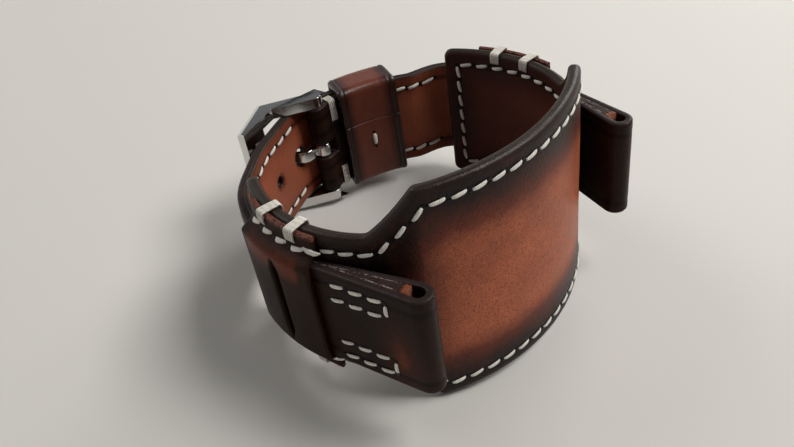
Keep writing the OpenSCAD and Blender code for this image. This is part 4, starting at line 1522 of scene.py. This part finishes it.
@dataclass
class Strap:
    """What both straps share: how they are covered, lined and sewn, and the tab with its filler.

    The tab is worked out on the long strap's side and mirrored across the plan's Y axis for the
    buckle strap.
    """

    curve: StrapCurve
    name: str = "strap"
    node: str = "strap"
    right: bool = False
    inset: float = 2.7
    wing_free: float = 5.0
    seam_depth: float = 0.08
    seam_half: float = 0.45
    filler_gap: float = 0.7
    box_inset: float = 2.4
    box_height: float = 3.4
    box_from: float = 5.2
    box_stitches: int = 3

    @property
    def mirror(self) -> Array:
        """Factors that carry a plan point of the left side to this strap's side."""
        return np.array([-1.0 if self.right else 1.0, 1.0])

    def _cover(
        self,
        strip: Strip,
        cloth: Cloth,
        rims: tuple[float, float],
        seam: Array,
        tone: Array,
        finishes: Finishes,
    ) -> None:
        """Builds the outer leather.

        Args:
            strip: The lines that it lies between.
            cloth: Its grid.
            rims: Radii of the rims of its outer and its inner face.
            seam: Depth of the groove under its stitches.
            tone: Shade of each grid point.
            finishes: The finishes.
        """
        under = strip.width(cloth.s) - HAIR - rim(cloth.edge, rims[1])
        depths = rim(cloth.edge, rims[0]) + seam, under
        made = Piece(f"{self.name}_leather")
        made.shell(cloth, strip.place, depths, np.clip(tone, 0, 1))
        made.finish(finishes.strap, Body.STRAPS, "strap_leather", [f"{self.node}_outer"])

    def _line(self, name: str, strip: Strip, cloth: Cloth, tone: float, finishes: Finishes) -> None:
        """Builds the lining, with a rounded rim and a groove under its stitches.

        Args:
            name: Name of the piece.
            strip: The lines that it lies between.
            cloth: Its grid.
            tone: Shade at its edge.
            finishes: The finishes.
        """
        seam = groove(cloth.edge, self.inset, self.seam_depth, self.seam_half)
        low = self.curve.lining - rim(cloth.edge, 0.4) - seam
        shade = tone + 0.4 * smooth((cloth.edge - 1.5) / 5)
        made = Piece(name)
        made.shell(cloth, strip.place, (HAIR + rim(cloth.edge, 0.05), low), shade)
        made.finish(finishes.strap_lining, Body.STRAPS, "lining_leather", [f"{self.node}_lining"])

    def _fill(self, finishes: Finishes) -> None:
        """Builds the tab's filler: the wedge between the outer leather and its folded end.

        The wedge ends on a circle round the lug bore, on the side towards the ring. Towards its
        end, it bends from the straight lines onto that circle as s^8.

        Args:
            finishes: The strap's finishes.
        """
        curve = self.curve
        under = curve.tab_lines()[1]
        centre, clear_r = -np.array(curve.loop), curve.lug_bore_r + self.filler_gap
        sides = under[2:TAB_STEPS], under[-TAB_STEPS:-2][::-1]
        clear = [np.linalg.norm(side - centre, axis=1) > clear_r for side in sides]
        strip = Strip(*(side[clear[0] & clear[1]] for side in sides))
        tips = strip.outer[-1], strip.inner[-1]
        ends = [(bearing(p, centre) + 90) % 360 - 90 for p in tips]
        height = curve.width / 2 - 0.04

        def place(s: Array, across: Array, depth: Array) -> Array:
            """Row point on the wedge's upper face, or at a depth under it.

            Args:
                s: Lengths along the piece.
                across: Distances across the wedge.
                depth: Depths under the face.

            Returns:
                Row points.
            """
            s, across, depth = np.broadcast_arrays(s, across, depth)
            share = np.clip(0.5 + across / np.maximum(strip.width(s) / 2, TINY) / 2, 0, 1)
            arc = centre + polar(clear_r, ends[0] + (ends[1] - ends[0]) * share)
            chord = tips[0] + (tips[1] - tips[0]) * share[..., None]
            bent = strip.between(s, share) + (arc - chord) * ((s / strip.length) ** 8)[..., None]
            return RING.place(bent * self.mirror, height - depth)

        def half(s: Array) -> Array:
            """Half width of the wedge."""
            return np.maximum(strip.width(s) / 2 - HAIR, 2 * HAIR)

        cloth = Cloth.cut(samples(0, strip.length, 0.4), half, 12)
        fibres = np.abs(0.05 * np.sin(cloth.z * 9.0) * np.sin(cloth.s * 0.9 + cloth.z))
        beyond = cloth.s - strip.length
        cloth.edge = cloth.edge + 1.0 + 2.0 * smooth((beyond + 1.7) / 0.6)
        depths = fibres, 2 * height + 0 * cloth.s
        made = Piece(f"{self.name}_filler")
        tone = 0.3 + 0.5 * smooth((beyond + 1.4) / 0.7)
        made.shell(cloth, place, depths[::-1] if self.right else depths, tone)
        made.finish(finishes.filler, Body.STRAPS, "raw_leather", [f"{self.node}_core"])

    def _sew_faces(
        self, finishes: Finishes, inner: tuple[float, float], outer: tuple[float, float]
    ) -> None:
        """Sews two rows on each face between two plan angles of that face.

        Args:
            finishes: The strap's finishes.
            inner: First and last plan angle of the inner rows.
            outer: The same of the outer rows.
        """
        seam = Seam(f"{self.name}_stitches", f"{self.name}_stitch_pits")
        place = self.curve.face(not self.right)
        z = self.curve.width / 2 - self.inset
        for up in (z, -z):
            for face, (start, stop) in ((Face.INNER, inner), (Face.OUTER, outer)):
                seam.sew(place, row((start * ARC, up), (stop * ARC, up)), face, self.curve.thick)
        seam.finish(finishes, Body.STRAPS, "strap_leather", f"{self.node}_stitching")

    def _sew_tab(self, finishes: Finishes) -> None:
        """Sews the two boxes of stitches on the tab's outer face, open towards the band.

        Args:
            finishes: The strap's finishes.
        """
        outer = self.curve.tab_lines()[0]
        start, stop = outer[0], outer[TAB_STEPS - 1]
        along = unit(stop - start)
        outward = np.array([along[1], -along[0]])
        length = float(np.linalg.norm(stop - start))
        sign = self.mirror[0]

        def place(s: Array, z: Array, depth: Array) -> Array:
            """Row point on the tab's flat face.

            Args:
                s: Lengths.
                z: Heights.
                depth: Depths.

            Returns:
                Row points.
            """
            s, z, depth = np.broadcast_arrays(sign * s, z, depth)
            plan = start + along * s[..., None] - outward * depth[..., None]
            return RING.place(plan * self.mirror, z)

        seam = Seam(f"{self.name}_tab_stitches", f"{self.name}_tab_stitches_pits")
        outer_z = self.curve.width / 2 - self.box_inset
        for up in (1.0, -1.0):
            for z, shift in ((outer_z, 0.0), (outer_z - self.box_height, 0.5)):
                middles = (np.arange(self.box_stitches) + 0.5) * PITCH
                s = sign * (length - self.box_from - shift - middles)
                s = s[np.abs(s) > 2.5]
                seam.sew(place, (s, np.full(len(s), up * z), np.zeros(len(s))))
            end_z = up * (outer_z - self.box_height / 2)
            seam.sew(place, ([sign * (length - 5.0)], [end_z], [sign * 80.0]), length=3.0)
        seam.finish(finishes, Body.STRAPS, "strap_leather", f"{self.node}_tab_stitching")


@dataclass
class LongStrap(Strap):
    """The long strap: outer leather with the tab round the lug bar, lining, filler and stitching."""

    name: str = "long_strap"
    node: str = "tail"
    tip: float = 49.5
    tip_l: float = 4.5
    tip_nose: float = 4.4
    hole_r: float = 1.1
    used_hole_r: float = 2.0
    used_hole: float = 99.5
    hole_pull: float = 1.5
    hole_step: float = 15.0
    hole_pitch: float = 0.55
    hole_cells: int = 8
    even_half: float = 3.2

    def half(self, s: Array) -> Array:
        """Half width: the tip widens from its nose along a bow.

        Args:
            s: Lengths along the piece.

        Returns:
            Half widths.
        """
        t = np.clip(s / self.tip_l, 0, 1)
        bow = np.sqrt(1 - (1 - t) ** 2.2)
        return self.tip_nose + (self.curve.width / 2 - self.tip_nose) * bow

    def ring_lines(self, lifts: tuple[float, float], stop: float) -> list[Array]:
        """Edge lines of a layer at two lifts on the ring, from the tip to a plan angle."""
        degrees = np.linspace(self.tip, stop, RUN_STEPS)
        return [self.curve.point(degrees, True, lift) for lift in lifts]

    def hole_places(self, strip: Strip) -> dict[int, float]:
        """Lengths of the holes along a strip. The one in use, number 0, is drawn towards the bar.

        Args:
            strip: The layer's strip.

        Returns:
            Length of each hole that lies past the tip, by its number.
        """
        middle = ((strip.outer + strip.inner) / 2)[:RUN_STEPS]
        angle = np.degrees(np.unwrap(np.arctan2(middle[:, 1], middle[:, 0])))
        places = {}
        for number in range(-2, 3):
            degrees = self.used_hole + (number * self.hole_step if number else -self.hole_pull)
            if degrees >= self.tip + 10:
                places[number] = float(np.interp(degrees, angle, strip.run[:RUN_STEPS]))
        return places

    def layer(self, strip: Strip) -> Cloth:
        """Grid of a layer, with even cells round each hole, and the holes punched.

        Args:
            strip: The layer's strip.

        Returns:
            The grid.
        """
        places = self.hole_places(strip)
        around = self.hole_pitch * self.hole_cells
        fine = [(place, around, self.hole_pitch) for place in places.values()]
        span = self.curve.width / 2 - LEAD[-1]
        rows = int(round(span / self.hole_pitch)) * 2 - 1
        cloth = Cloth.cut(samples(0, strip.length, 0.7, fine), self.half, rows)
        spread = np.linspace(-1, 1, rows + 2)[1:-1] * span
        even = np.arange(-(rows // 2), rows // 2 + 1) * self.hole_pitch
        block = slice(len(LEAD), len(LEAD) + rows)
        wide = cloth.s[:, block] > self.tip_l + 1
        blended = np.where(np.abs(even) < self.even_half, even, spread)
        cloth.z[:, block] = np.where(wide, blended, cloth.z[:, block])
        for number, place in places.items():
            cloth.punch(place, self.hole_r if number else self.used_hole_r, self.hole_pitch)
        return cloth

    def build(self, finishes: Finishes) -> None:
        """Builds the leather, the lining and the filler.

        Args:
            finishes: The strap's finishes.
        """
        c = self.curve
        ring = self.ring_lines((c.thick, c.lining), 180 + c.tab_from - 0.3)
        strip = Strip(*(np.concatenate(pair) for pair in zip(ring, c.tab_lines())))
        cloth = self.layer(strip)
        loop_s = strip.run[RUN_STEPS + TAB_STEPS + LOOP_STEPS // 2]
        patch = np.exp(-(((cloth.s - loop_s + 7.0) / 3.2) ** 2 + ((cloth.z + 3.5) / 6.0) ** 2))
        tone = 0.04 + 0.6 * patch + smooth((loop_s - 26 - cloth.s) / 8) * 0.22
        seam = groove(cloth.edge, self.inset, self.seam_depth, self.seam_half)
        self._cover(strip, cloth, (0.55, 0.05), seam, tone, finishes)
        strip = Strip(*self.ring_lines((c.lining, 0.0), 180 + c.tab_from))
        self._line("long_strap_lining", strip, self.layer(strip), 0.35, finishes)
        self._fill(finishes)

    def sew(self, finishes: Finishes, bands: Bands) -> None:
        """Sews both faces of the strap and the tab's boxes.

        Args:
            finishes: The strap's finishes.
            bands: The bands that the straps run through.
        """
        inner = self.curve.bar_at + 10, 180 - self.curve.pad.wing_end - self.wing_free
        self._sew_faces(finishes, inner, (self.tip + 8, 180 - bands.above - 3))
        self._sew_tab(finishes)


@dataclass
class BuckleStrap(Strap):
    """The short strap that carries the buckle: tab, run, fold round the bar and flap behind it."""

    name: str = "buckle_strap"
    node: str = "buckle_strap"
    right: bool = True
    flap_end: float = 66.3
    fold_before: float = 4.6
    slot_half: float = 1.8
    slot_reach: float = 2.7
    wrap_leg: float = 4.6
    wrap_count: int = 4
    wrap_r: float = 0.2

    @property
    def fold_a(self) -> float:
        """Plan angle where the run ends and the fold begins."""
        return self.curve.bar_at - self.fold_before

    def lines(self) -> tuple[Array, Array, int]:
        """Edge lines of the outer leather, and the count of points before its fold.

        Returns:
            Outer line, inner line and the count.
        """
        c = self.curve
        tab = [line[::-1] * self.mirror for line in c.tab_lines()]
        ahead = np.linspace(-c.tab_from + 0.3, self.fold_a, 220)
        back = np.linspace(self.fold_a, self.flap_end, 60)
        run = [c.point(ahead, False, lift) for lift in (c.thick, c.lining)]
        flap = [c.point(back, False, lift) for lift in (0.0, c.lining)]
        ends = touch(run[0][-1], c.bar, c.fold_r, 1), touch(flap[0][0], c.bar, c.fold_r, -1)
        turn = sweep(ends, c.bar, FOLD_STEPS)
        fold = [c.bar + polar(radius, turn) for radius in (c.fold_r, c.fold_r - 1.3)]
        outer, inner = (np.concatenate(parts) for parts in zip(tab, run, fold, flap))
        return outer, inner, len(tab[0]) + len(run[0])

    def build(self, finishes: Finishes) -> None:
        """Builds the leather, the lining and the filler.

        Args:
            finishes: The strap's finishes.
        """
        c = self.curve
        outer, inner, before = self.lines()
        strip = Strip(outer, inner)
        middle = float(strip.run[before + FOLD_STEPS // 2])
        reach = self.slot_reach + (strip.run[before + FOLD_STEPS - 1] - strip.run[before]) / 2
        s = samples(0, strip.length, 0.65, [(middle, reach + 1.5, 0.3)])
        start, stop = (float(s[np.argmin(np.abs(s - middle + k * reach))]) for k in (1, -1))
        cloth = Cloth.cut(s, c.width / 2, 37)
        line = int(np.argmin(np.abs(cloth.z[0] - self.slot_half)))
        cloth.z[:, line], cloth.z[:, -1 - line] = self.slot_half, -self.slot_half
        cloth.window(start, stop, self.slot_half)
        seam = groove(cloth.edge, self.inset, 0.06, self.seam_half) * (cloth.s < middle - reach)
        loop_s = strip.run[TAB_STEPS + LOOP_STEPS // 2]
        patch = np.exp(-(((cloth.s - loop_s - 7.5) / 4.0) ** 2 + ((cloth.z + 1.5) / 8) ** 2))
        self._cover(strip, cloth, (0.5, 0.1), seam, 0.05 + 0.5 * patch, finishes)
        degrees = np.linspace(-c.tab_from, self.flap_end, 240)
        strip = Strip(c.point(degrees, False, c.lining), c.point(degrees, False, 0.0))
        cloth = Cloth.cut(samples(0, strip.length, 0.7), c.width / 2, 36)
        self._line("buckle_strap_lining_leather", strip, cloth, 0.3, finishes)
        self._fill(finishes)

    def sew(self, finishes: Finishes, bands: Bands) -> None:
        """Sews the strap's two faces, the tab's boxes and the windings beside the fold.

        Args:
            finishes: The strap's finishes.
            bands: The bands that the straps run through.
        """
        c = self.curve
        inner = c.pad.wing_end + self.wing_free, self.fold_a - 6
        self._sew_faces(finishes, inner, (bands.above + 3, c.pad.wing_end + 8.8))
        self._sew_tab(finishes)
        made = Piece("fold_thread")
        outside, top = c.back_r + c.thick, c.width / 2
        path = over_edge(c.back_r, outside, top, self.wrap_leg, self.wrap_r * 0.5, 30)
        step = math.degrees(2.15 * self.wrap_r / c.back_r)
        degrees = self.fold_a - 0.65 - np.arange(self.wrap_count) * step
        wind(made, path, degrees, self.wrap_r, 4.0)
        made.finish(finishes.thread, Body.STRAPS, "thread", ["fold_wraps"])


@dataclass
class Keeper:
    """The loose keeper: one strip bent round both straps, with creased edges and a butted seam."""

    curve: StrapCurve
    at: float = 66.3
    width: float = 13.6
    thick: float = 1.3
    low_r: float = 30.22
    high_r: float = 35.98
    side: float = 0.3
    bend: float = 1.6
    inner_bend: float = 0.35
    seam_z: float = 3.4
    seam_gap: float = 0.03
    crease_at: float = 1.35

    def section(self) -> tuple[Array, Array]:
        """Outer and inner line of the keeper's section as radius and height, from the seam round.

        Returns:
            The two lines.
        """
        half = self.curve.width / 2 + self.side

        def rounded(grow: float, bend: float) -> Array:
            """Rounded rectangle with its cut ends, walked from the inner wall's middle downwards.

            Args:
                grow: Distance outside the room for the straps.
                bend: Radius of its corners.

            Returns:
                Radii and heights.
            """
            lo, hi, top = self.low_r - grow, self.high_r + grow, half + grow
            corners = ((lo, -top, 180), (hi, -top, 270), (hi, top, 0), (lo, top, 90))
            parts = [[(lo, self.seam_z - self.seam_gap)]]
            for x, y, start in corners:
                centre = np.array([x + (bend if x == lo else -bend), y + (bend if y < 0 else -bend)])
                parts.append(centre + polar(bend, np.linspace(start, start + 90, 12)))
            return np.concatenate([*parts, [(lo, self.seam_z + self.seam_gap)]])

        return rounded(self.thick, self.bend), rounded(0.0, self.inner_bend)

    def build(self, finishes: Finishes) -> None:
        """Builds the loop and its single stitch.

        Args:
            finishes: The strap's finishes.
        """
        strip = Strip(*self.section())

        def place(s: Array, v: Array, depth: Array) -> Array:
            """Row point at length s round the section, v along the ring and a depth under the face.

            The section's radius r at v lies at the root of r squared less v squared, so that the
            two cut edges stay parallel.

            Args:
                s: Lengths round the section.
                v: Places along the ring.
                depth: Depths.

            Returns:
                Row points.
            """
            s, v, depth = np.broadcast_arrays(s, v, depth)
            r, z = np.moveaxis(strip.between(s, depth / strip.width(s)), -1, 0)
            out, along = polar(1.0, self.at), polar(1.0, self.at + 90)
            return RING.place(np.sqrt(r**2 - v**2)[..., None] * out + v[..., None] * along, z)

        ends = (False, False)
        cloth = Cloth.cut(samples(0, strip.length, 0.45), self.width / 2, 20, ends, KEEPER_LEAD)
        crease = groove(cloth.edge, self.crease_at, 0.17, 0.14)
        swell = -0.10 * np.exp(-(((cloth.edge - 0.9) / 0.5) ** 2))
        butt = rim(np.minimum(cloth.s, strip.length - cloth.s), 0.22)
        depths = rim(cloth.edge, 0.5) + crease + swell + butt, self.thick - rim(cloth.edge, 0.25)
        made = Piece("keeper_loop_leather")
        made.shell(cloth, place, depths, 0.2 + 0.62 * smooth((cloth.edge - 1.3) / 2.6))
        made.finish(finishes.keeper, Body.KEEPER, "strap_leather", ["keeper_loop"])
        seam = Seam("keeper_single_stitch", "keeper_stitch_pits")
        seam.sew(place, ([self.seam_z + 1.7], [0.0], [-9.0]), length=3.6, grow=1.1)
        seam.finish(finishes, Body.KEEPER, "strap_leather", "keeper_stitch")


@dataclass
class Buckle:
    """The angular steel buckle: two arms, a front bar with a seat for the tongue, and the tongue."""

    curve: StrapCurve
    frame_in: float = 11.3
    arm_t: float = 2.4
    eye_r: float = 2.0
    eye_steps: int = 30
    notch_half: float = 1.6
    notch_t: float = 0.4
    tongue_t: float = 1.3
    tongue_w: float = 2.6
    knuckle_in: float = 0.98
    knuckle_out: float = 1.83
    knuckle_half: float = 1.45
    chamfer_w: float = 0.95
    chamfer_h: float = 0.44
    bevel: float = 0.09

    def points(self) -> dict[str, Array]:
        """Named plan points of the arm's outline, from its eye's ridge round the tip to its knee.

        Returns:
            The points by name.
        """
        offsets = {
            "ridge": (-9.3, 8.0),
            "bar_back": (-12.4, 6.176),
            "tip_top": (-19.5, 2.0),
            "tip_low": (-19.1, 0.1),
            "bar_low": (-12.9, 2.064),
            "knee": (-9.0, 3.3),
        }
        return {name: self.curve.bar + np.array(v) for name, v in offsets.items()}

    def build(self, finishes: Finishes) -> None:
        """Builds the frame and the tongue, and dresses the spring bar.

        Args:
            finishes: The strap's finishes.
        """
        self._frame(finishes)
        self._tongue(finishes)
        for part in ("barrel", "pin_upper", "pin_lower", "spring"):
            materials = frame["nodes"][f"spring_bar_{part}"].data.materials
            materials.clear()
            materials.append(finishes.drawn if part == "spring" else finishes.polished)
            LOG.info("spring_bar_%s: steel finish", part)

    def _chamfered(self, outline: Array) -> Array:
        """Outline of the frame's two end faces, inside its chamfers.

        Each edge moves in by the chamfer's width where it faces away from the wrist. A corner
        moves to the place where its two moved edges meet.

        Args:
            outline: The arm's outline.

        Returns:
            The smaller outline.
        """
        ahead = np.roll(outline, -1, axis=0) - outline
        normal = unit(np.stack([ahead[:, 1], -ahead[:, 0]], 1))
        inset = self.chamfer_w * smooth(normal[:, 1] / 0.8)
        pairs = np.stack([np.roll(normal, 1, axis=0), normal], axis=1)
        moves = np.stack([np.roll(inset, 1), inset], axis=1)
        return outline - (np.linalg.pinv(pairs, rcond=0.02) @ moves[..., None])[..., 0]

    def _frame(self, finishes: Finishes) -> None:
        """Builds the frame as one closed mesh of flat faces between levels of the ring's axis.

        The arms fill the outline between each end and their inner level, and the front bar alone
        spans the levels between. At the notch, the bar's upper corners are sunk to the seat.

        Args:
            finishes: The strap's finishes.
        """
        p, bar = self.points(), self.curve.bar
        ends = touch(p["knee"], bar, self.eye_r, 1), touch(p["ridge"], bar, self.eye_r, -1)
        eye = bar + polar(self.eye_r, sweep(ends, bar, self.eye_steps))
        outline = np.concatenate([eye, list(p.values())])
        count = len(outline)
        back, tip_t, tip_l, lowest = (self.eye_steps + k for k in (1, 2, 3, 4))
        half, inside, notch = self.frame_in + self.arm_t, self.frame_in, self.notch_half
        edge, narrow = half - self.chamfer_h, self._chamfered(outline)
        levels = (-half, -edge, -inside, -notch, notch, inside, edge, half)
        plans = [narrow if abs(z) == half else outline for z in levels]
        points = [RING.place(plan, np.full(count, z)) for plan, z in zip(plans, levels)]
        drop = unit(p["tip_top"] - p["bar_back"])
        seat = np.array([p["bar_back"], p["tip_top"]]) - np.array([drop[1], -drop[0]]) * self.notch_t
        points += [RING.place(seat, np.full(2, z)) for z in (-notch, notch)]
        at = np.arange(len(levels) * count).reshape(len(levels), count)
        sunk = at.copy()
        sunk[3:5, [back, tip_t]] = at.size + np.arange(4).reshape(2, 2)

        def quads(lower: Array, upper: Array) -> Array:
            """Faces between pairs of neighbours on one level and the same pairs on the next."""
            return np.stack([lower[:, 0], lower[:, 1], upper[:, 1], upper[:, 0]], 1)

        arm = np.setdiff1d(np.arange(count), (tip_t, tip_l))
        faces = [at[:1, ::-1], at[7:], at[2:3, arm], at[5:6, arm[::-1]]]
        around = np.stack([np.arange(count), np.roll(np.arange(count), -1)], 1)
        faces += [quads(at[k][around], at[k + 1][around]) for k in (0, 1, 5, 6)]
        bar_sides = np.array([(tip_l, lowest), (lowest, back), (tip_t, tip_l), (back, tip_t)])
        for k, corners in ((2, at), (3, sunk), (4, at)):
            faces.append(quads(corners[k][bar_sides], corners[k + 1][bar_sides]))
        steps = [[*at[k, [back, tip_t]], *sunk[k, [tip_t, back]]] for k in (3, 4)]
        faces += [np.array([steps[0]]), np.array([steps[1][::-1]])]
        made = Piece("buckle_frame_steel")
        made.add(np.concatenate(points), faces, np.zeros((1, 2)), 1.0, 1.0)
        made.finish(finishes.polished, Body.FRAME, "polished_steel", ["buckle_frame"], self.bevel)

    def _tongue(self, finishes: Finishes) -> None:
        """Builds the tongue: a rounded strip along a bent path, and its knuckle round the bar.

        The path's bends are quadratic curves between points a bend's length from each corner. The
        section is a rectangle with rounded corners that shrinks a little towards the tip.

        Args:
            finishes: The strap's finishes.
        """
        p, bar = self.points(), self.curve.bar
        face = unit(p["tip_top"] - p["bar_back"])
        outward = np.array([face[1], -face[0]])
        rise = outward * (self.tongue_t / 2 + 0.06 - self.notch_t) * np.sign(outward[1])
        key = [bar + np.array(v) for v in ((-1.35, 0.2), (-5.3, 0.55), (-7.25, 4.9))]
        key += [p["bar_back"] - face * 2 + rise, p["tip_top"] - face * 0.6 + rise]
        path = [key[0]]
        t = np.linspace(0, 1, 7)[:, None]
        for before, corner, after in zip(key, key[1:], key[2:]):
            reach = [min(1.4, float(np.linalg.norm(v - corner)) * 0.45) for v in (before, after)]
            a = corner + unit(before - corner) * reach[0]
            b = corner + unit(after - corner) * reach[1]
            path.extend((a * (1 - t) + corner * t) * (1 - t) + (corner * (1 - t) + b * t) * t)
        line = np.array([*path, key[-1]])
        tangent = unit(np.gradient(line, axis=0))
        normal = np.stack([-tangent[:, 1], tangent[:, 0]], 1)
        around = circle(20) + math.pi / 20
        wide, high = squarish(around, 0.28)
        slim = np.ones((len(line), 1))
        slim[-1] = 0.86
        raised = (high * self.tongue_t / 2 * slim)[..., None]
        plan = line[:, None, :] + normal[:, None, :] * raised
        made = Piece("buckle_tongue_steel")
        points = RING.place(plan, wide * self.tongue_w / 2 * slim)
        made.tubes(points[None], False, True, np.zeros((1, 2)))
        wide, high = squarish(around, 0.4)
        middle_r = (self.knuckle_in + self.knuckle_out) / 2
        r = middle_r + wide * (self.knuckle_out - self.knuckle_in) / 2
        turn = circle(48)[:, None]
        plan = bar + np.stack([r * np.cos(turn), r * np.sin(turn)], -1)
        height = np.broadcast_to(high * self.knuckle_half, plan.shape[:-1])
        made.tubes(RING.place(plan, height)[None], True, False, np.zeros((1, 2)))
        made.finish(finishes.polished, Body.TONGUE, "polished_steel", ["buckle_tongue"])


@dataclass
class Studio:
    """Camera at the photograph's viewing angle, pale floor and soft lights."""

    eye: tuple[float, float, float] = (-0.08948603, -0.07759312, 0.13266026)
    right: tuple[float, float, float] = (0.67504296, -0.73774131, 0.00739989)
    up: tuple[float, float, float] = (0.52887882, 0.49087549, 0.6923355)
    focal_px: float = 785.27
    image_w: int = 794
    sensor: float = 36.0
    floor_half: float = 2.5
    horizon: float = 1.0
    sky: float = 0.62
    zenith: float = 0.07

    def build(self) -> None:
        """Sets the camera, the floor, the lamps and the world."""
        camera = bpy.data.cameras.new("camera")
        camera.sensor_width = self.sensor
        camera.lens = self.focal_px / self.image_w * self.sensor
        camera.clip_start, camera.clip_end = 0.005, 20.0
        placed = self._put("camera", camera)
        right, up = Vector(self.right).normalized(), Vector(self.up).normalized()
        turn = Matrix((right, up, right.cross(up))).transposed().to_4x4()
        placed.matrix_world = Matrix.Translation(Vector(self.eye)) @ turn
        bpy.context.scene.camera = placed
        self._floor()
        self._lamp("key", (0.30, -0.22, 0.60), 0.30, 4.0)
        self._lamp("side", (0.62, 0.12, 0.36), 0.30, 1.9)
        self._lamp("fill", (-0.12, 0.50, 0.45), 0.34, 1.3)
        bpy.context.scene.world = self._world()
        bpy.context.scene.view_settings.view_transform = "Standard"

    def _put(self, name: str, data: bpy.types.ID) -> bpy.types.Object:
        """Puts an object into the scene.

        Args:
            name: Name of the object.
            data: Its camera, lamp or mesh.

        Returns:
            The object.
        """
        made = bpy.data.objects.new(name, data)
        bpy.context.scene.collection.objects.link(made)
        return made

    def _world(self) -> bpy.types.World:
        """Makes the soft world: pale at the horizon and darker overhead, and even behind the scene.

        Returns:
            The world.
        """
        g = Graph(bpy.data.worlds.new("soft_world"))
        height = g.add("ShaderNodeTexCoord", out="Generated")
        height = g.add("ShaderNodeSeparateXYZ", {}, {"Vector": height}, "Z")
        span = {"From Min": 0.06, "From Max": 0.4, "To Min": self.horizon, "To Max": self.zenith}
        settings = {"interpolation_type": "SMOOTHSTEP"}
        fade = g.add("ShaderNodeMapRange", settings, {"Value": height, **span})
        seen = g.add("ShaderNodeLightPath", out="Is Camera Ray")
        strength = g.add("ShaderNodeMix", {}, {0: seen, 2: fade, 3: self.sky})
        inputs = {"Color": (0.96, 0.97, 1.0, 1.0), "Strength": strength}
        return g.close(g.add("ShaderNodeBackground", {}, inputs), "ShaderNodeOutputWorld")

    def _floor(self) -> None:
        """Lays one large pale square under the strap."""
        made = bpy.data.meshes.new("floor")
        square = (-1, -1), (1, -1), (1, 1), (-1, 1)
        corners = [(x * self.floor_half, y * self.floor_half, 0.0) for x, y in square]
        made.from_pydata(corners, [], [(0, 1, 2, 3)])
        made.materials.append(FloorFinish().make())
        self._put("floor", made)

    def _lamp(self, name: str, at: tuple[float, float, float], size: float, power: float) -> None:
        """Adds a soft square lamp that faces the strap.

        Args:
            name: Name of the lamp.
            at: Its place.
            size: Its side.
            power: Its power.
        """
        lamp = bpy.data.lights.new(name, "AREA")
        lamp.shape, lamp.size, lamp.energy = "SQUARE", size, power
        made = self._put(name, lamp)
        made.location = at
        aim = Vector((0.0, -0.005, 0.02)) - Vector(at)
        made.rotation_euler = aim.to_track_quat("-Z", "Y").to_euler()


def main() -> None:
    """Builds the sub-assemblies in order."""
    logging.basicConfig(level=logging.INFO, format="%(message)s")
    finishes = Finishes()
    pad = Pad(PadCurve())
    straps = StrapCurve(pad.curve)
    bands = Bands(pad.curve, straps)
    pad.build(finishes)
    pad.sew(finishes, bands)
    bands.build(finishes)
    for strap in (LongStrap(straps), BuckleStrap(straps)):
        strap.build(finishes)
        strap.sew(finishes, bands)
    Keeper(straps).build(finishes)
    Buckle(straps).build(finishes)
    Studio().build()


if __name__ == "__main__":
    main()
